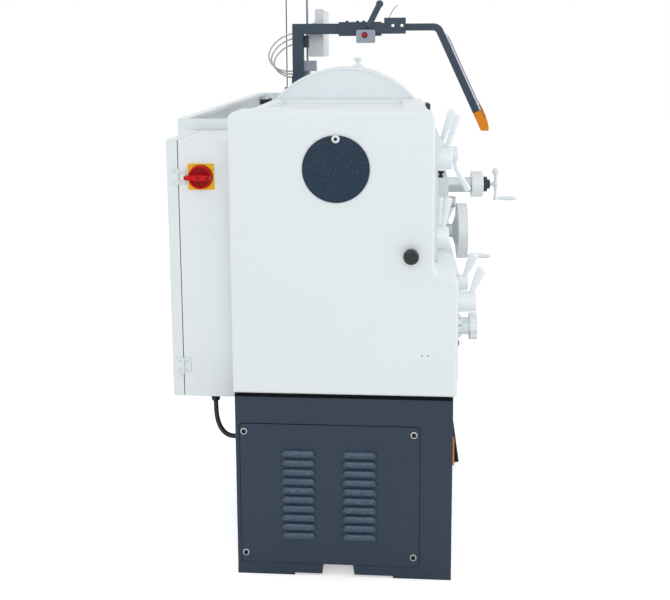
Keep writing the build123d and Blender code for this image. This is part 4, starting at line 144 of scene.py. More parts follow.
finishes = {
    # stoved white enamel: faint orange peel that breaks up the highlights on broad flat sheets
    "sprayed_white_enamel": dict(
        colours=("#E0E8EB", "#E5ECEF"), drift=0.35, grain=0.0022, relief=0.00006, rough=(0.34, 0.44),
        coat=0.12, coatRough=0.25),
    # textured blue-grey powder coat of the base: pebbled, half matt, painted glints on the pebbles, sheen at
    # folds
    "textured_blue_grey_powder_coat": dict(
        colours=("#283746", "#2F3E4E"), drift=0.25, grain=0.0030, relief=0.00030, rough=(0.36, 0.56),
        strength=0.8, specular=0.32, painted_glints=("#46586A", 0.62, 0.80)),
    # the same coat on the pressed hoods, smoother, painted lighter with brighter glints: a painted highlight
    # on the crowns
    "pressed_hood_coat": dict(
        colours=("#2A4055", "#34495F"), drift=0.02, grain=0.0032, relief=0.00030, rough=(0.26, 0.44),
        strength=0.8, painted_glints=("#7C97AF", 0.60, 0.80)),
    # navy stoved coat of the guard frame: bluer and glossier than the base, finely pebbled with painted
    # glints
    "pebbled_navy_coat": dict(
        colours=("#283A4C", "#304355"), drift=0.12, grain=0.0026, relief=0.00020, rough=(0.28, 0.46),
        strength=0.7, specular=0.36, painted_glints=("#3F566B", 0.58, 0.78)),
    # round plate over the bar opening: the darkest of the navy coats, with a fine sparkle of painted glints
    # on its pebbles
    "pebbled_dark_plate": dict(
        colours=("#162A3C", "#1D3244"), drift=0.08, grain=0.0032, relief=0.00024, rough=(0.30, 0.48),
        strength=0.8, specular=0.25, painted_glints=("#3A5268", 0.56, 0.76)),
    # enamelled castings of levers and wheels: glossier, with a faint waviness left by the sand mould
    "enamelled_cast_levers": dict(
        colours=("#E3EAEE", "#EAF0F3"), drift=0.06, grain=0.004, relief=0.00004, rough=(0.24, 0.34),
        coat=0.25, coatRough=0.15),
    # sanded edge of the clear sheet: pale, with a bluish brightness painted in as a highlight line
    "clear_edge_painted_highlight": dict(
        colours=("#C3CBE0", "#D6DCEA"), drift=0.05, grain=0.0008, relief=0.00003, rough=(0.4, 0.55),
        edge=0.0003),
    # grey enamel on the carriage's fittings: broad unevenness under a satin skin, with a paler scale cover
    # and a rear upright of dull steel
    "sprayed_grey_enamel": dict(
        colours=("#8E97A3", "#9BA4AF"), drift=0.12, grain=0.004, relief=0.00015, rough=(0.3, 0.42),
        coat=0.1,
        patches=[((0.055, -0.425, 0.843), (0.078, -0.330, 0.875), "#B6BCC0", 0.35, 0.2),
                 ((0.135, 0.169, 1.296), (0.155, 0.189, 1.570), "#7B7F8B", 0.35, 0.7)]),
    # motor housing, dipped primer: dull and slightly blotched
    "dipped_motor_paint": dict(
        colours=("#5A626B", "#67707A"), drift=0.08, grain=0.004, relief=0.0002, rough=(0.45, 0.6)),
    # bed casting: white enamel on the webs, bare ground iron on ways and rack that mirrors the slides dimly
    "enamelled_bed_ground_ways": dict(
        colours=("#DDE3E5", "#E5EAEB"), drift=0.2, grain=0.0024, relief=0.00007, rough=(0.3, 0.42),
        coat=0.1,
        patches=[((-0.43, -0.13, 0.866), (0.93, 0.13, 0.885), "#B9BEC2", 0.24, 1.0),
                 ((-0.40, -0.141, 0.776), (0.90, -0.1255, 0.802), "#8E9498", 0.4, 1.0)]),
    # chuck guard: the same stoved white with a moulded black grip, so the grip reads as a separate piece
    "sprayed_white_guard": dict(
        colours=("#E0E7EB", "#E6ECEF"), drift=0.3, grain=0.0022, relief=0.00006, rough=(0.32, 0.42),
        coat=0.12, coatRough=0.25,
        patches=[((-0.380, -0.2525, 1.165), (-0.314, -0.2363, 1.199), "#202124", 0.34, 0.0)]),
    # electrics cabinet: stoved white outside, zinc-plated mounting plate inside with its bluish sheen
    "sprayed_white_cabinet": dict(
        colours=("#E2E9EC", "#E8EEF0"), drift=0.3, grain=0.0022, relief=0.00006, rough=(0.34, 0.44),
        coat=0.12, coatRough=0.25,
        patches=[((-0.826, 0.2745, 0.475), (-0.594, 0.366, 1.093), "#AEB6BB", 0.32, 0.9)]),
    # scraped slide castings: mottled grey iron with a low sheen
    "scraped_slide_iron": dict(
        colours=("#A9AFB2", "#B7BCBF"), drift=0.03, grain=0.003, relief=0.00005, rough=(0.26, 0.42),
        metallic=0.7),
    # ground and turned steel: fine rings round the axis along X
    "turned_bright_steel": dict(
        colours=("#C2C6C9", "#D2D5D7"), drift=0.05, grain=0.0008, relief=0.00003, stretch=(1, 0.06, 0.06),
        rough=(0.16, 0.3), metallic=1.0, edge=0.0006),
    # chemically blackened steel: near black with a brownish-blue drift and oily sheen
    "blackened_steel": dict(
        colours=("#1B1D21", "#25282C"), drift=0.04, grain=0.002, relief=0.00004, rough=(0.3, 0.45),
        metallic=0.6),
    # tool post: blackened block under a bright clamping lever
    "blackened_tool_post": dict(
        colours=("#26292D", "#313438"), drift=0.03, grain=0.002, relief=0.00004, rough=(0.3, 0.45),
        metallic=0.6,
        patches=[((0.025, -0.140, 1.0785), (0.106, -0.045, 1.130), "#C9CED1", 0.26, 0.9)]),
    # knurled locking ring: black, its straight ridges break the sheen into fine stripes
    "knurled_black_ring": dict(
        colours=("#1E1F22", "#292B2F"), drift=0.03, grain=0.002, relief=0.00003, rough=(0.32, 0.44),
        knurl=(0.100, 0.872, 48, 0.0008), edge=0.001),
    # pad-printed ink of the dial's numerals: flat black, thinner at its rims
    "printed_black_ink": dict(
        colours=("#141517", "#1F2023"), drift=0.004, grain=0.0006, relief=0.00001, rough=(0.5, 0.62),
        edge=0.0001),
    # moulded black plastic: even, glossy, slight flow waves
    "moulded_black_plastic": dict(
        colours=("#1B1C1E", "#232427"), drift=0.03, grain=0.003, relief=0.00005, rough=(0.25, 0.38),
        edge=0.001),
    # moulded red plastic of the switch knob: saturated, soft highlights on rounded edges
    "moulded_red_plastic": dict(
        colours=("#8C0206", "#98070A"), drift=0.03, grain=0.002, relief=0.00003, rough=(0.3, 0.42),
        specular=0.16, edge=0.001),
    # rim and grip of the switch: the same plastic painted brighter, a painted highlight on the raised parts;
    # also the limit switch's button
    "moulded_bright_red": dict(
        colours=("#C2030A", "#CE0910"), drift=0.03, grain=0.002, relief=0.00003, rough=(0.26, 0.38),
        specular=0.22, edge=0.001),
    # matt deep black, nearly no highlight: painted shade of the shadow gaps under the end cover and round
    # the louvred panel
    "extruded_black_seal": dict(
        colours=("#050506", "#0B0B0C"), drift=0.05, grain=0.002, relief=0.00004, rough=(0.62, 0.80),
        specular=0.1, edge=0.0006),
    # moulded yellow switch plate: satin, tiny sparkle of texture
    "moulded_yellow_plastic": dict(
        colours=("#F0B000", "#F6BC10"), drift=0.03, grain=0.0012, relief=0.00005, rough=(0.35, 0.5),
        edge=0.001, specular=0.25),
    # orange powder-coated guard handle: slight peel, satin
    "sprayed_orange_coat": dict(
        colours=("#DC8002", "#E58B08"), drift=0.05, grain=0.0018, relief=0.00008, rough=(0.34, 0.46),
        specular=0.3, edge=0.001),
    # moulded readout housing: pale grey, spark-eroded fine texture, no gloss
    "textured_readout_plastic": dict(
        colours=("#DADFE4", "#E1E6EA"), drift=0.08, grain=0.0009, relief=0.00008, rough=(0.5, 0.62)),
    # extruded rubber sheath: dull, faint lengthwise bloom
    "extruded_black_sheath": dict(
        colours=("#202224", "#2B2D30"), drift=0.05, grain=0.0015, relief=0.00004, rough=(0.5, 0.66)),
    # extruded pale grey lead sheath: smooth and a little waxy
    "extruded_grey_sheath": dict(
        colours=("#C4CACD", "#CFD4D6"), drift=0.04, grain=0.0015, relief=0.00003, rough=(0.36, 0.48)),
    # moulded belt: matt rubber with dusty drift
    "moulded_belt_rubber": dict(
        colours=("#1D1E1F", "#2A2B2C"), drift=0.03, grain=0.001, relief=0.00006, rough=(0.6, 0.8)),
}
materials = {name: makeMaterial(name, values) for name, values in finishes.items()}


def makeClearSheet(values):  # polished clear sheet: nearly all light passes, edges and grazing views show
    material = bpy.data.materials.new("polished_clear_sheet")
    material.use_nodes = True
    tree = material.node_tree
    shader = tree.nodes["Principled BSDF"]
    place = addNode(tree, "ShaderNodeTexCoord").outputs["Object"]
    smear = addNode(tree, "ShaderNodeTexNoise",
                    {"Vector": place, "Scale": 1 / values["smear"], "Detail": values["detail"]})
    low, high = values["rough"]
    rough = addNode(tree, "ShaderNodeMapRange", {0: smear.outputs[0], 3: low, 4: high})
    tree.links.new(rough.outputs[0], shader.inputs["Roughness"])
    shader.inputs["Base Color"].default_value = linear(values["colour"])
    shader.inputs["Transmission Weight"].default_value = 1.0
    shader.inputs["IOR"].default_value = values["acrylicIor"]
    return material


clearSheetValues = dict(colour="#F4F8F8", smear=0.05, detail=3.0, rough=(0.0, 0.06), acrylicIor=1.49)
materials["polished_clear_sheet"] = makeClearSheet(clearSheetValues)
print("stage:", len(materials), "materials")

finishOf = {
    "sprayed_white_enamel": ("headstock", "feed_gearbox", "electrics_door", "end_cover", "splash_guard",
                             "saddle", "tailstock", "chip_tray"),
    "enamelled_bed_ground_ways": ("bed",),
    "sprayed_white_guard": ("chuck_guard",),
    "sprayed_white_cabinet": ("electrics_cabinet",),
    "textured_blue_grey_powder_coat": ("head_cabinet", "tail_cabinet", "louvre_panel", "brake_pedal"),
    "pebbled_navy_coat": ("guard_post", "guard_arm"),
    "pebbled_dark_plate": ("bar_disc",),
    "enamelled_cast_levers": ("direction_lever", "speed_lever_left", "speed_lever_right",
                              "thread_lever_left", "thread_lever_right", "feed_lever_left",
                              "feed_lever_right", "star_knob", "apron_wheel", "feed_selector",
                              "half_nut_lever", "cross_crank", "top_crank", "tail_wheel", "tail_clamp",
                              "quill_lock"),
    "sprayed_grey_enamel": ("carriage_fittings",),
    "dipped_motor_paint": ("motor",),
    "scraped_slide_iron": ("cross_slide", "top_slide"),
    "turned_bright_steel": ("spindle_and_chuck", "feed_rod", "quill", "head_pulley", "motor_pulley",
                            "stud_gear", "idler_gear", "input_gear"),
    "blackened_steel": ("black_fittings", "saddle_lock"),
    "blackened_tool_post": ("tool_post",),
    "knurled_black_ring": ("cross_ring",),
    "moulded_black_plastic": ("cover_knob",),
    "moulded_red_plastic": ("main_switch",),
    "moulded_yellow_plastic": ("switch_plate",),
    "sprayed_orange_coat": ("guard_handle",),
    "textured_readout_plastic": ("readout",),
    "moulded_belt_rubber": ("drive_belt",),
    "polished_clear_sheet": ("guard_shield",),
}
for finish, members in finishOf.items():
    for member in members:
        nodes[member].data.materials.clear()
        nodes[member].data.materials.append(materials[finish])
print("stage: finishes set on", sum(len(m) for m in finishOf.values()), "nodes")


# Cords: a quadratic spline that touches each leg of the route at its middle, with its ends held at the
# first and last point. route: rows of (y, z) in metres, all at one x.
def makeCord(name, values):
    data = bpy.data.curves.new(name, "CURVE")
    data.dimensions = "3D"
    data.bevel_depth = values["diameter"] / 2
    data.bevel_resolution = values["ringSteps"]
    data.resolution_u = values["legSteps"]
    data.use_fill_caps = True
    spline = data.splines.new("NURBS")
    spline.points.add(len(values["route"]) - 1)
    for point, (y, z) in zip(spline.points, values["route"]):
        point.co = (values["x"], y, z, 1.0)
    spline.order_u = 3
    spline.use_endpoint_u = True
    cord = bpy.data.objects.new(name, data)
    scene.collection.objects.link(cord)
    data.materials.append(materials[values["finish"]])
    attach(cord, values["body"])
    return cord


motorCableValues = dict(
    body="frame", x=-0.790, diameter=0.013, length=0.135, stiffness="stiff", finish="extruded_black_sheath",
    ringSteps=6, legSteps=16,
    route=((0.349, 0.404), (0.349, 0.373), (0.345, 0.340), (0.332, 0.312), (0.311, 0.298), (0.292, 0.298)))
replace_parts(makeCord("motor_cable_flex", motorCableValues), "motor_cable")

leadShared = dict(body="carriage", diameter=0.006, stiffness="medium", finish="extruded_grey_sheath",
                  ringSteps=6, legSteps=16)
leadValues = [
    dict(x=0.158, length=0.319,
         route=((0.172, 1.428), (0.206, 1.428), (0.246, 1.421), (0.284, 1.403), (0.314, 1.375),
                (0.328, 1.338), (0.314, 1.306), (0.284, 1.288), (0.254, 1.283), (0.227, 1.283))),
    dict(x=0.167, length=0.303,
         route=((0.172, 1.410), (0.204, 1.410), (0.242, 1.403), (0.278, 1.386), (0.306, 1.359),
                (0.320, 1.326), (0.306, 1.296), (0.278, 1.279), (0.252, 1.272), (0.227, 1.272))),
    dict(x=0.176, length=0.285,
         route=((0.172, 1.390), (0.202, 1.390), (0.238, 1.383), (0.272, 1.367), (0.298, 1.342),
                (0.311, 1.312), (0.298, 1.285), (0.273, 1.268), (0.249, 1.260), (0.227, 1.260))),
]
for index, values in enumerate(leadValues):
    lead = makeCord("readout_lead_%d" % index, {**leadShared, **values})
    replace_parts(lead, "readout_leads")
print("stage: four cords")


def addPiece(name, points, faces, values):  # mesh from whole arrays, finish and body in one go
    mesh = bpy.data.meshes.new(name)
    mesh.from_pydata(points.tolist(), [], [face for group in faces for face in group.tolist()])
    mesh.update()
    mesh.materials.append(materials[values["finish"]])
    piece = bpy.data.objects.new(name, mesh)
    scene.collection.objects.link(piece)
    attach(piece, values["body"])
    return piece


# Quads between rings of count points, and fans to a pole before the first ring and one after the last.
def ringFaces(rings, count):
    here = np.arange(count)
    following = (here + 1) % count
    rows = np.arange(rings - 1)[:, None] * count
    quads = np.stack([rows + here, rows + following, rows + count + following, rows + count + here], -1)
    last = (rings - 1) * count
    first = np.stack([np.full(count, rings * count), following, here], 1)
    end = np.stack([np.full(count, rings * count + 1), last + here, last + following], 1)
    return [quads.reshape(-1, 4), first, end]


def copies(shape, groups, places):  # the same shape at every place, as points and groups of faces
    places = np.array(places, float)
    points = (places[:, None, :] + shape[None, :, :]).reshape(-1, 3)
    return points, [group + index * len(shape) for index in range(len(places)) for group in groups]


# Turned: p(u, v) = (a(u), r(u) cos v, r(u) sin v) for v = 0..2 pi, a and r from the rows of a profile.
def turnedPiece(name, values):
    profile = np.array(values["profile"], float)  # rows of (along, radius), first and last on the axis
    count = values["around"]
    turn = np.tile(np.arange(count) * 2 * np.pi / count, len(profile) - 2)
    along, radius = np.repeat(profile[1:-1, 0], count), np.repeat(profile[1:-1, 1], count)
    body = np.stack([along, radius * np.cos(turn), radius * np.sin(turn)], 1)
    poles = np.array([[profile[0, 0], 0, 0], [profile[-1, 0], 0, 0]])
    shape = np.roll(np.vstack([body, poles]), {"x": 0, "z": -1}[values.get("axis", "x")], axis=1)
    groups = ringFaces(len(profile) - 2, count)
    if profile[-1, 0] < profile[0, 0]:  # profile runs against the axis
        groups = [group[:, ::-1] for group in groups]
    return addPiece(name, *copies(shape, groups, values["places"]), values)


# A section carried along a flat path: p(u, v) = path(u) + scale(u) * (a(v) * side(u) + b(v) * across).
def sweptPiece(name, values):
    path, section = np.array(values["path"], float), np.array(values["section"], float)
    scale = np.array(values.get("scale", [1.0] * len(path)))[:, None, None]
    across = np.array(values["across"], float)
    tangent = np.gradient(path, axis=0)
    side = np.cross(across, tangent)
    side = side / np.linalg.norm(side, axis=1)[:, None]
    offset = section[None, :, :1] * side[:, None, :] + section[None, :, 1:] * across
    grid = path[:, None, :] + scale * offset
    shape = np.vstack([grid.reshape(-1, 3), path[[0, -1]]])
    groups = ringFaces(len(path), len(section))
    return addPiece(name, *copies(shape, groups, values.get("places", [(0, 0, 0)])), values)


# Rounded rectangle: |a / halfA|^power + |b / halfB|^power = 1, walked once round anticlockwise.
def roundedSection(halfA, halfB, power, count=40):
    turn = np.arange(count) * 2 * np.pi / count
    cosine, sine = np.cos(turn), np.sin(turn)
    return np.stack([halfA * np.sign(cosine) * np.abs(cosine) ** (2 / power),
                     halfB * np.sign(sine) * np.abs(sine) ** (2 / power)], 1)


# An outline carried straight along x: p(u, v) = (x(u), y(v), z(v)), closed by the outline at both ends.
# outline: rows of (along, out) from the origin, measured down the slope and square to it.
def prismPiece(name, values):
    slope = np.array(values["slope"], float) / np.hypot(*values["slope"])
    along, out = np.array(values["outline"], float).T[:, :, None]
    outline = np.array(values["origin"]) + along * slope + out * np.array([slope[1], -slope[0]])
    following = np.roll(outline, -1, axis=0)
    area = np.sum(outline[:, 0] * following[:, 1] - outline[:, 1] * following[:, 0])
    if area < 0:  # turn clockwise outlines round
        outline = outline[::-1]
    count = len(outline)
    points = np.vstack([np.hstack([np.full((count, 1), x), outline]) for x in values["x"]])
    here = np.arange(count)
    there = (here + 1) % count
    sides = np.stack([here, there, count + there, count + here], 1)
    return addPiece(name, points, [sides, here[None, ::-1], count + here[None, :]], values)


# Louvred panel: a flat sheet with softened edges. x: back and front; face: size of the front face beside the
# back; corner: power of the rounded outline.
panelValues = dict(
    body="frame", slot="blue_grey_enamel", finish="textured_blue_grey_powder_coat", across=(0, 0, 1),
    y=(-0.209, 0.252), z=(0.034, 0.414), x=(-0.960, -0.962), softened=0.0008, face=0.997, corner=60,
    around=160)
panelBack, panelFront = panelValues["x"]
panelMiddle = [sum(panelValues[axis]) / 2 for axis in "yz"]


def panelSection(past):  # outline of the panel, grown by past
    halfY, halfZ = [(panelValues[axis][1] - panelValues[axis][0]) / 2 + past for axis in "yz"]
    return roundedSection(halfY, halfZ, panelValues["corner"], panelValues["around"])


sheet = sweptPiece("louvre_sheet", {
    **panelValues, "scale": [1, 1, panelValues["face"]], "section": panelSection(0.0),
    "path": [(x, *panelMiddle) for x in (panelBack, panelFront + panelValues["softened"], panelFront)]})

# black band round the panel: painted shade of the shadow gap between panel and cabinet
seamShadeValues = dict(body="frame", slot="belt_rubber", finish="extruded_black_seal", across=(0, 0, 1),
                    x=(-0.9598, -0.9606), past=0.0013)
sweptPiece("panel_seam_shade", {**seamShadeValues, "path": [(x, *panelMiddle) for x in seamShadeValues["x"]],
                            "section": panelSection(seamShadeValues["past"])})

# Pressed hoods in rows: a hood stands off by depth * arc(t) as z falls from its top to its lip, with
# arc(t) = sqrt(1 - (1 - t)^2), is open below, and closes at its ends along y by the same arc.
# the hoods' finish is painted lighter than the panel: a painted highlight on the crowns
hoodValues = dict(
    body="frame", slot="blue_grey_enamel", finish="pressed_hood_coat", across=(0, 0, 1), rows=10,
    pitch=0.0249, firstZ=0.108, columns=(-0.0555, 0.1015), width=0.090, height=0.0150, depth=0.0095,
    skin=0.0012, ends=0.32, closed=0.03, lengthSteps=49, heightSteps=15)


def louvreHoods(values):
    length = np.sin(np.linspace(-np.pi / 2, np.pi / 2, values["lengthSteps"]))  # -1 to 1, closer at the ends
    fade = np.clip((1 - np.abs(length)) / values["ends"], 0, 1)
    fall = np.linspace(0, 1, values["heightSteps"])[::-1]  # 1 at the lip, 0 at the top
    stand = values["depth"] * np.sqrt(1 - (1 - fall) ** 2)
    rise = values["height"] * (1 - fall)
    outer, inner = np.stack([stand, rise], 1), np.stack([stand - values["skin"], rise], 1)
    return sweptPiece("louvre_hoods", {
        **values, "scale": np.maximum(np.sqrt(1 - (1 - fade) ** 2), values["closed"]),
        "path": np.stack([np.full(len(length), panelFront), length * values["width"] / 2,
                          np.zeros(len(length))], 1),
        "section": np.vstack([outer, inner[::-1]]),
        "places": [(0, y, values["firstZ"] + row * values["pitch"])
                   for y in values["columns"] for row in range(values["rows"])]})


hoods = louvreHoods(hoodValues)
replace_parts(sheet, "louvre_panel")
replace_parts(hoods, "louvre_panel")
print("stage: louvred panel")

# socket screws of the louvred panel: bright dished washer, black head with a sunk socket
panelWasherValues = dict(
    body="frame", slot="ground_steel", finish="turned_bright_steel", around=40,
    places=[(panelFront, y, z) for y in (-0.194, 0.241) for z in (0.061, 0.394)],
    profile=[(0.0, 0.0), (0.0, 0.0088), (-0.0016, 0.0088), (-0.0022, 0.0082), (-0.0022, 0.0064),
             (-0.0012, 0.0056), (-0.0012, 0.0)])
turnedPiece("panel_washers", panelWasherValues)
panelScrewValues = {
    **panelWasherValues, "slot": "black_oxide", "finish": "blackened_steel",
    "profile": [(-0.0010, 0.0), (-0.0010, 0.0050), (-0.0048, 0.0050), (-0.0054, 0.0044), (-0.0054, 0.0028),
                (-0.0020, 0.0028), (-0.0020, 0.0)]}
turnedPiece("panel_screws", panelScrewValues)

# black socket in the screw that the round plate hangs on
socketValues = dict(
    body="end_cover", slot="black_oxide", finish="blackened_steel", around=32,
    places=[(-0.9836, 0.0, 1.149)],
    profile=[(0.0, 0.0), (0.0, 0.0042), (-0.0004, 0.0042), (-0.0005, 0.0036), (-0.0001, 0.0033),
             (-0.0001, 0.0)])
turnedPiece("disc_screw_socket", socketValues)

# black bead under the end cover, along the near top edge of the head cabinet: painted shade of the shadow
# gap
gapShadeValues = dict(
    body="frame", slot="belt_rubber", finish="extruded_black_seal", across=(1, 0, 0), scale=[0.8, 1, 1, 0.8],
    path=[(-0.9612, y, 0.4905) for y in (-0.290, -0.2895, 0.2615, 0.262)],
    section=roundedSection(halfA=0.0035, halfB=0.0022, power=3, count=24))
sweptPiece("cover_gap_shade", gapShadeValues)

# painted countersunk screws in the leaves of each hinge of the door, two on the cabinet and two on the door
hingeScrewValues = dict(
    slot="white_enamel", finish="sprayed_white_cabinet", around=24, x=-0.8536, hinges=(0.5235, 1.036),
    offsets=(-0.0125, 0.0125), leaves=(("cabinet", "frame", 0.411), ("door", "electrics_door", 0.431)),
    profile=[(0.0, 0.0), (0.0, 0.0032), (-0.0003, 0.003), (-0.0004, 0.0012), (-0.0001, 0.0011),
             (-0.0001, 0.0)])
for leaf, body, y in hingeScrewValues["leaves"]:
    places = [(hingeScrewValues["x"], y, z + offset)
              for z in hingeScrewValues["hinges"] for offset in hingeScrewValues["offsets"]]
    turnedPiece("hinge_screws_" + leaf, {**hingeScrewValues, "body": body, "places": places})

# two blind rivets low on the end cover
coverRivetValues = dict(
    body="end_cover", slot="grey_enamel", finish="sprayed_grey_enamel", around=20,
    places=[(-0.975, -0.212, 0.608), (-0.975, -0.227, 0.608)],
    profile=[(0.0, 0.0), (0.0, 0.0022), (-0.0004, 0.002), (-0.0008, 0.0012), (-0.0009, 0.0)])
turnedPiece("cover_rivets", coverRivetValues)

# limit switch: black bezel and red button on its near face
bezelValues = dict(
    body="carriage", slot="black_plastic", finish="moulded_black_plastic", around=40,
    places=[(0.028, -0.036, 1.413)],
    profile=[(0.0, 0.0), (0.0, 0.0105), (-0.0025, 0.0105), (-0.0035, 0.0095), (-0.0035, 0.0078),
             (-0.001, 0.0075), (-0.001, 0.0)])
turnedPiece("limit_switch_bezel", bezelValues)
buttonValues = dict(
    body="carriage", slot="red_plastic", finish="moulded_bright_red", around=40,
    places=[(0.0272, -0.036, 1.413)],
    profile=[(0.0, 0.0), (0.0, 0.0070), (-0.0035, 0.0070), (-0.0046, 0.0060), (-0.0053, 0.0040),
             (-0.0056, 0.0)])
turnedPiece("limit_switch_button", buttonValues)

# cap screws: two bright ones in the arm's clamp, three black ones on top of the bracket
clampScrewValues = dict(
    body="guard_arm", slot="ground_steel", finish="turned_bright_steel", around=32,
    places=[(0.0687, -0.135, 1.446), (0.0687, -0.167, 1.446)],
    profile=[(0.0, 0.0), (0.0, 0.0055), (-0.0045, 0.0055), (-0.005, 0.005), (-0.005, 0.003), (-0.002, 0.003),
             (-0.002, 0.0)])
turnedPiece("clamp_screws", clampScrewValues)
bracketScrewValues = dict(
    body="carriage", slot="black_oxide", finish="blackened_steel", around=32, axis="z",
    places=[(0.100, y, 1.460) for y in (-0.008, -0.030, 0.030)],
    profile=[(0.0, 0.0), (0.0, 0.005), (0.0048, 0.005), (0.0054, 0.0044), (0.0054, 0.0027), (0.0025, 0.0027),
             (0.0025, 0.0)])
turnedPiece("bracket_screws", bracketScrewValues)

# Guard handle: full section at the arm, and a slimmer folded strip along the rest of the sheet's lower edge
handleValues = dict(body="guard_arm", slot="orange_plastic", finish="sprayed_orange_coat",
                    origin=(-0.437, 1.137), slope=(-0.141, -0.304))
handleEndValues = {
    **handleValues, "x": (0.0875, 0.1075),
    "outline": [(0.0003, -0.0125), (0.0695, -0.0125), (0.081, 0.0118), (0.0683, 0.0180), (0.046, 0.0226),
                (0.0236, 0.0248), (-0.003, 0.0246), (-0.030, 0.0236), (-0.030, 0.0212), (0.008, 0.0212),
                (0.034, 0.0186), (0.032, 0.0168), (0.008, 0.0162), (0.0003, 0.0162)]}
handleStripValues = {
    **handleValues, "x": (0.1075, 0.4475),
    "outline": [(0.026, 0.007), (0.070, 0.007), (0.0795, 0.0102), (0.064, 0.0208), (-0.030, 0.0234),
                (-0.030, 0.0208), (0.026, 0.0208)]}
handleEnd = prismPiece("guard_handle_end", handleEndValues)
handleStrip = prismPiece("guard_handle_strip", handleStripValues)
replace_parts(handleEnd, "guard_handle")
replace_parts(handleStrip, "guard_handle")

# sanded near edge of the clear sheet beside the arm, painted pale bluish as a highlight line, and the black
# lip along its outer corner
shieldEdgeValues = {
    **handleValues, "slot": "clear_sheet", "finish": "clear_edge_painted_highlight", "x": (0.0866, 0.0873),
    "outline": [(-0.300, 0.0127), (-0.003, 0.0127), (-0.003, 0.0180), (-0.300, 0.0180)]}
prismPiece("shield_edge", shieldEdgeValues)
shieldLipValues = {
    **shieldEdgeValues, "slot": "black_plastic", "finish": "moulded_belt_rubber",
    "outline": [(-0.288, 0.0182), (-0.031, 0.0182), (-0.031, 0.0205), (-0.288, 0.0205)]}
prismPiece("shield_lip", shieldLipValues)

# bent wire on the clamp: B(t) = (1 - t)^2 p0 + 2 t (1 - t) p1 + t^2 p2 in the plane across the bed
wireValues = dict(body="guard_arm", slot="ground_steel", finish="blackened_steel", across=(1, 0, 0), x=0.096,
                  radius=0.0011, circle=2, around=12, steps=25,  # circle: power of a round section
                  points=((-0.121, 1.473), (-0.137, 1.512), (-0.151, 1.517)))
t = np.linspace(0, 1, wireValues["steps"])[:, None]
p0, p1, p2 = np.array(wireValues["points"])
bend = (1 - t) ** 2 * p0 + 2 * t * (1 - t) * p1 + t ** 2 * p2
sweptPiece("clamp_wire", {
    **wireValues, "path": np.hstack([np.full((len(bend), 1), wireValues["x"]), bend]),
    "section": roundedSection(wireValues["radius"], wireValues["radius"], wireValues["circle"],
                              wireValues["around"])})

# orange strip on the front of the head cabinet, beside its near edge
stripValues = dict(body="frame", slot="orange_plastic", finish="sprayed_orange_coat", across=(1, 0, 0),
                   path=[(-0.940, -0.2941, z) for z in (0.3130, 0.3135, 0.3765, 0.3770)],
                   scale=[0.9, 1, 1, 0.9], section=roundedSection(halfA=0.0020, halfB=0.0160, power=8))
sweptPiece("front_strip", stripValues)

# Full grips of the two feed levers: round section along the lever, closed over the end by a quarter ellipse.
# r(t) = root + taper t + swell s^2 (3 - 2 s) with s = t / swellEnd up to 1. levers: side, x, start and end.
gripValues = dict(
    slot="lever_enamel", finish="enamelled_cast_levers", across=(1, 0, 0), around=36, root=0.0068,
    taper=0.0040, swell=0.0036, swellEnd=0.62, close=0.10, tip=0.999, steps=40, firstStep=0.28,
    levers=(("left", -0.675, (-0.356, 0.682), (-0.3890, 0.7583)),
            ("right", -0.475, (-0.355, 0.678), (-0.3860, 0.7513))))


def leverGrips(values):
    t = 1 - np.cos(np.linspace(values["firstStep"], np.pi / 2, values["steps"]))
    t = t / t[-1]
    s = np.clip(t / values["swellEnd"], 0, 1)
    radius = values["root"] + values["taper"] * t + values["swell"] * s ** 2 * (3 - 2 * s)
    closing = np.clip((t - 1 + values["close"]) / values["close"], 0, values["tip"])
    radius = radius * np.sqrt(np.maximum(1 - closing ** 2, 0))
    angle = np.arange(values["around"]) * 2 * np.pi / values["around"]
    for side, x, start, end in values["levers"]:
        line = np.array(start) + t[:, None] * (np.array(end) - np.array(start))
        sweptPiece("feed_lever_grip_" + side, {
            **values, "body": "feed_lever_" + side, "scale": radius,
            "path": np.hstack([np.full((len(t), 1), x), line]),
            "section": np.stack([np.cos(angle), np.sin(angle)], 1)})


leverGrips(gripValues)

# Main switch: a raised rim round the dished knob, its web sunk in the knob, and a bar over the turning grip.
# Bar: along = offset + long c(w), out = (tip + belly (1 - |along| / long)) s(w), where c and s are cos w and
# sin w with their sizes raised to 2 / power.
# rim and bar take the brighter red: a painted highlight on the raised parts of the knob
switchValues = dict(
    body="main_switch", slot="red_plastic", finish="moulded_bright_red", around=72, middle=(0.361, 1.036),
    knobX=-0.8613, barX=-0.8767, sunk=0.001, slope=(1, 0), offset=0.005, long=0.0342, tip=0.0054,
    belly=0.0029, power=14, barAround=48,
    profile=[(0.0020, 0.0), (0.0020, 0.0303), (-0.0018, 0.0303), (-0.0028, 0.0294), (-0.0028, 0.0270),
             (-0.0018, 0.0260), (0.0015, 0.0257), (0.0015, 0.0)])


def mainSwitch(values):
    turnedPiece("switch_rim", {**values, "places": [(values["knobX"], *values["middle"])]})
    along, out = roundedSection(values["long"], 1.0, values["power"], values["barAround"]).T
    along = along + values["offset"]
    out = out * (values["tip"] + values["belly"] * (1 - np.abs(along) / values["long"]))
    prismPiece("switch_bar", {**values, "origin": values["middle"], "outline": np.stack([along, out], 1),
                              "x": (values["barX"], values["knobX"] + values["sunk"])})


mainSwitch(switchValues)
switchY, switchZ = switchValues["middle"]
switchScrewValues = dict(
    body="main_switch", slot="black_oxide", finish="blackened_steel", around=24,
    places=[(switchValues["barX"], switchY + y, switchZ) for y in (0.003, -0.023)],
    profile=[(0.0, 0.0), (0.0, 0.0030), (-0.0005, 0.0030), (-0.0007, 0.0025), (-0.0002, 0.0013),
             (-0.0002, 0.0)])
turnedPiece("switch_screws", switchScrewValues)

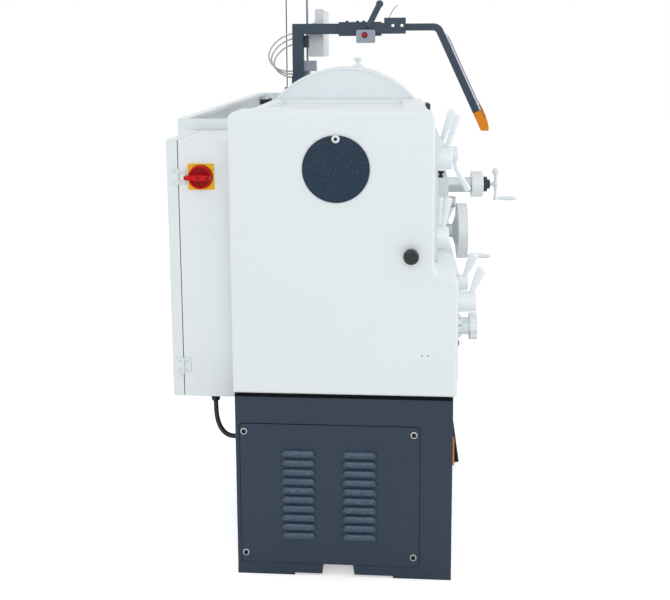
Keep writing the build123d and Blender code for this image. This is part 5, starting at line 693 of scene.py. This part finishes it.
# folded rim of the chuck guard: bead along p(u) = centre + radius (sin u, cos u) on its near face
rimValues = dict(
    body="chuck_guard", slot="white_enamel", finish="sprayed_white_cabinet", x=-0.412, centre=(0.009, 1.025),
    radius=0.2806, ends=(-0.985, 1.03), steps=81, across=(1, 0, 0),
    section=roundedSection(halfA=0.0042, halfB=0.0020, power=4, count=24))
u = np.linspace(*rimValues["ends"], rimValues["steps"])
rimPath = np.stack([np.full(len(u), rimValues["x"]),
                    rimValues["centre"][0] + rimValues["radius"] * np.sin(u),
                    rimValues["centre"][1] + rimValues["radius"] * np.cos(u)], 1)
sweptPiece("guard_rim", {**rimValues, "path": rimPath})
print("stage: screws, rivets, limit switch, wire, strip, grips, switch and guard rim")

# Lead screw: r = root + depth * ramp(phase), phase = x / pitch - v / 2 pi, so the ridge climbs as a
# right-hand thread. The ramp has a flat crest, straight flanks and a flat root.
leadScrewValues = dict(
    body="lead_screw", slot="ground_steel", finish="turned_bright_steel", start=-0.429, end=0.905,
    threadFrom=-0.400, threadTo=0.855, y=-0.215, z=0.705, radius=0.0149, depth=0.0028, pitch=0.006,
    rampTop=1.5, rampFall=5, chamfer=0.001, samples=8, around=28)


def leadScrewThread(values):
    threadFrom, threadTo, pitch = values["threadFrom"], values["threadTo"], values["pitch"]
    threaded = np.arange(threadFrom, threadTo, pitch / values["samples"])
    along = np.concatenate([[values["start"]] * 2, threaded, [values["end"]] * 2])
    turn = np.arange(values["around"]) * 2 * np.pi / values["around"]
    phase = (along[:, None] / pitch - turn[None, :] / (2 * np.pi)) % 1.0
    ramp = np.clip(values["rampTop"] - np.abs(phase - 0.5) * values["rampFall"], 0, 1)
    fade = np.clip(np.minimum(along - threadFrom, threadTo - along) / pitch, 0, 1)[:, None]
    radius = values["radius"] - values["depth"] * (1 - ramp) * fade
    radius[0] = radius[-1] = values["radius"] - values["chamfer"]
    grid = np.stack([np.repeat(along[:, None], values["around"], 1), values["y"] + radius * np.cos(turn),
                     values["z"] + radius * np.sin(turn)], -1)
    poles = np.array([[x, values["y"], values["z"]] for x in (values["start"], values["end"])])
    return addPiece("lead_screw_thread", np.vstack([grid.reshape(-1, 3), poles]),
                    ringFaces(len(along), values["around"]), values)


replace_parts(leadScrewThread(leadScrewValues), "lead_screw")

# Numerals on the sloping rim of the feed dial: text x goes round the axis, text y up the slope, lifted off
# the paint. centre: (x, z) of the dial; rim, face: (radius, y) where the slope starts and ends.
numeralValues = dict(
    body="frame", slot="black_plastic", finish="printed_black_ink", centre=(-0.625, 0.573),
    rim=(0.038, -0.322), face=(0.029, -0.336), size=0.0105, digitMiddle=0.35, thick=0.00012, lift=0.0002,
    count=10, curveSteps=3)


def flatNumeral(digit, values):  # vertices and triangles of one digit in the plane of its text
    text = bpy.data.curves.new("numeral", "FONT")
    text.body, text.size, text.extrude = str(digit), values["size"], values["thick"]
    text.align_x = "CENTER"
    text.resolution_u = values["curveSteps"]
    carrier = bpy.data.objects.new("numeral", text)
    flat = bpy.data.meshes.new_from_object(carrier)
    flat.calc_loop_triangles()
    place = np.empty(len(flat.vertices) * 3)
    corner = np.empty(len(flat.loop_triangles) * 3, int)
    flat.vertices.foreach_get("co", place)
    flat.loop_triangles.foreach_get("vertices", corner)
    bpy.data.objects.remove(carrier)
    bpy.data.curves.remove(text)
    bpy.data.meshes.remove(flat)
    return place.reshape(-1, 3), corner.reshape(-1, 3)


def dialNumerals(values):
    rim, face = np.array(values["rim"]), np.array(values["face"])
    slope = (rim - face) / np.linalg.norm(rim - face)
    middle = (rim + face) / 2
    points, faces, total = [], [], 0
    for digit in range(values["count"]):
        place, corner = flatNumeral(digit, values)
        across, up, out = place.T
        height, lifted = up - values["size"] * values["digitMiddle"], out + values["lift"]
        radial = middle[0] + height * slope[0] + lifted * slope[1]
        depth = middle[1] + height * slope[1] - lifted * slope[0]
        angle = digit * 2 * np.pi / values["count"] + across / middle[0]
        points.append(np.stack([values["centre"][0] + radial * np.sin(angle), depth,
                                values["centre"][1] + radial * np.cos(angle)], 1))
        faces.append(corner + total)
        total += len(place)
    return addPiece("dial_numerals", np.vstack(points), faces, values)


dialNumerals(numeralValues)
print("stage: lead screw and dial")

# Camera at the headstock end, as the photo was taken. focal: in pixels of a picture of that width.
cameraValues = dict(place=(-3.027, -0.140, 1.363), turn=(82.248, 0.306, -86.085), focal=856.5,
                    pictureWidth=670, sensor=36.0, shiftY=-0.2, farClip=100.0)
cameraData = bpy.data.cameras.new("camera")
cameraData.sensor_fit = "HORIZONTAL"
cameraData.sensor_width = cameraValues["sensor"]
cameraData.lens = cameraValues["focal"] / cameraValues["pictureWidth"] * cameraValues["sensor"]
cameraData.shift_y = cameraValues["shiftY"]
cameraData.clip_end = cameraValues["farClip"]
camera = bpy.data.objects.new("camera", cameraData)
camera.location = cameraValues["place"]
camera.rotation_euler = [math.radians(a) for a in cameraValues["turn"]]
scene.collection.objects.link(camera)
scene.camera = camera

# Floor: a disc p(r, a) = (r cos a, r sin a, height) that takes the shadows. lift whitens it for the camera.
floorValues = dict(radius=14.0, height=-0.0005, rings=24, around=96, colour="#FFFFFF", rough=0.9, lift=0.42)


def floorMesh(values):
    rings, count = values["rings"], values["around"]
    radii = np.linspace(0, values["radius"], rings + 1)[1:]
    turns = np.arange(count) * 2 * np.pi / count
    grid = np.stack([np.outer(radii, np.cos(turns)), np.outer(radii, np.sin(turns)),
                     np.full((rings, count), values["height"])], -1).reshape(-1, 3)
    here = np.arange(count)
    following = (here + 1) % count
    rows = np.arange(rings - 1)[:, None] * count
    quads = np.stack([rows + here, rows + count + here, rows + count + following, rows + following], -1)
    fan = np.stack([np.full(count, len(grid)), here, following], 1)
    mesh = bpy.data.meshes.new("floor")
    mesh.from_pydata(np.vstack([grid, [[0, 0, values["height"]]]]).tolist(), [],
                     quads.reshape(-1, 4).tolist() + fan.tolist())
    mesh.update()
    return mesh


def floorMaterial(values):  # painted matt white: no highlight, so the floor melts into the surround
    material = bpy.data.materials.new("painted_studio_floor")
    material.use_nodes = True
    tree = material.node_tree
    shader = tree.nodes["Principled BSDF"]
    shader.inputs["Base Color"].default_value = linear(values["colour"])
    shader.inputs["Roughness"].default_value = values["rough"]
    shader.inputs["Specular IOR Level"].default_value = 0.0
    shader.inputs["Emission Color"].default_value = linear(values["colour"])
    ray = addNode(tree, "ShaderNodeLightPath")
    lift = addNode(tree, "ShaderNodeMath", {0: ray.outputs["Is Camera Ray"], 1: values["lift"]},
                   operation="MULTIPLY")
    tree.links.new(lift.outputs[0], shader.inputs["Emission Strength"])
    return material


floor = bpy.data.objects.new("floor", floorMesh(floorValues))
scene.collection.objects.link(floor)
floor.data.materials.append(floorMaterial(floorValues))

# White surround: full white to the camera, in reflections and through the clear sheet, softer as a light
worldValues = dict(colour="#FFFFFF", seen=1.0, lighting=0.64)
world = bpy.data.worlds.new("white_studio")
scene.world = world
world.use_nodes = True
worldTree = world.node_tree
background = worldTree.nodes["Background"]
background.inputs["Color"].default_value = linear(worldValues["colour"])
ray = addNode(worldTree, "ShaderNodeLightPath")
glossyOrCamera = addNode(worldTree, "ShaderNodeMath", {0: ray.outputs["Is Camera Ray"],
                                                       1: ray.outputs["Is Glossy Ray"]}, operation="MAXIMUM")
seen = addNode(worldTree, "ShaderNodeMath", {0: glossyOrCamera.outputs[0],
                                             1: ray.outputs["Is Transmission Ray"]}, operation="MAXIMUM")
strength = addNode(worldTree, "ShaderNodeMapRange", {0: seen.outputs[0], 3: worldValues["lighting"],
                                                     4: worldValues["seen"]})
worldTree.links.new(strength.outputs[0], background.inputs["Strength"])

lightValues = [
    dict(name="overhead_softbox", place=(-2.0, -1.2, 4.0), aim=(-0.2, 0.1, 0.9), size=(3.6, 2.4), power=11),
    dict(name="end_softbox", place=(-4.8, -0.1, 2.6), aim=(-0.6, 0.0, 0.9), size=(3.2, 2.6), power=42),
    dict(name="front_softbox", place=(0.0, -3.6, 2.0), aim=(0.0, 0.0, 0.8), size=(3.2, 2.0), power=42),
    dict(name="rear_softbox", place=(0.0, 3.4, 3.0), aim=(0.0, 0.0, 0.9), size=(3.2, 2.0), power=38),
]
for values in lightValues:
    lightData = bpy.data.lights.new(values["name"], "AREA")
    lightData.shape = "RECTANGLE"
    lightData.size, lightData.size_y = values["size"]
    lightData.energy = values["power"]
    light = bpy.data.objects.new(values["name"], lightData)
    direction = np.array(values["place"]) - np.array(values["aim"])
    direction = direction / np.linalg.norm(direction)
    side = np.cross((0, 0, 1.0), direction)
    side = side / np.linalg.norm(side)
    up = np.cross(direction, side)
    turn = Matrix(np.stack([side, up, direction], 1).tolist()).to_4x4()
    light.matrix_world = Matrix.Translation(values["place"]) @ turn
    scene.collection.objects.link(light)
scene.view_settings.view_transform = "Standard"
print("stage: camera, floor and light")
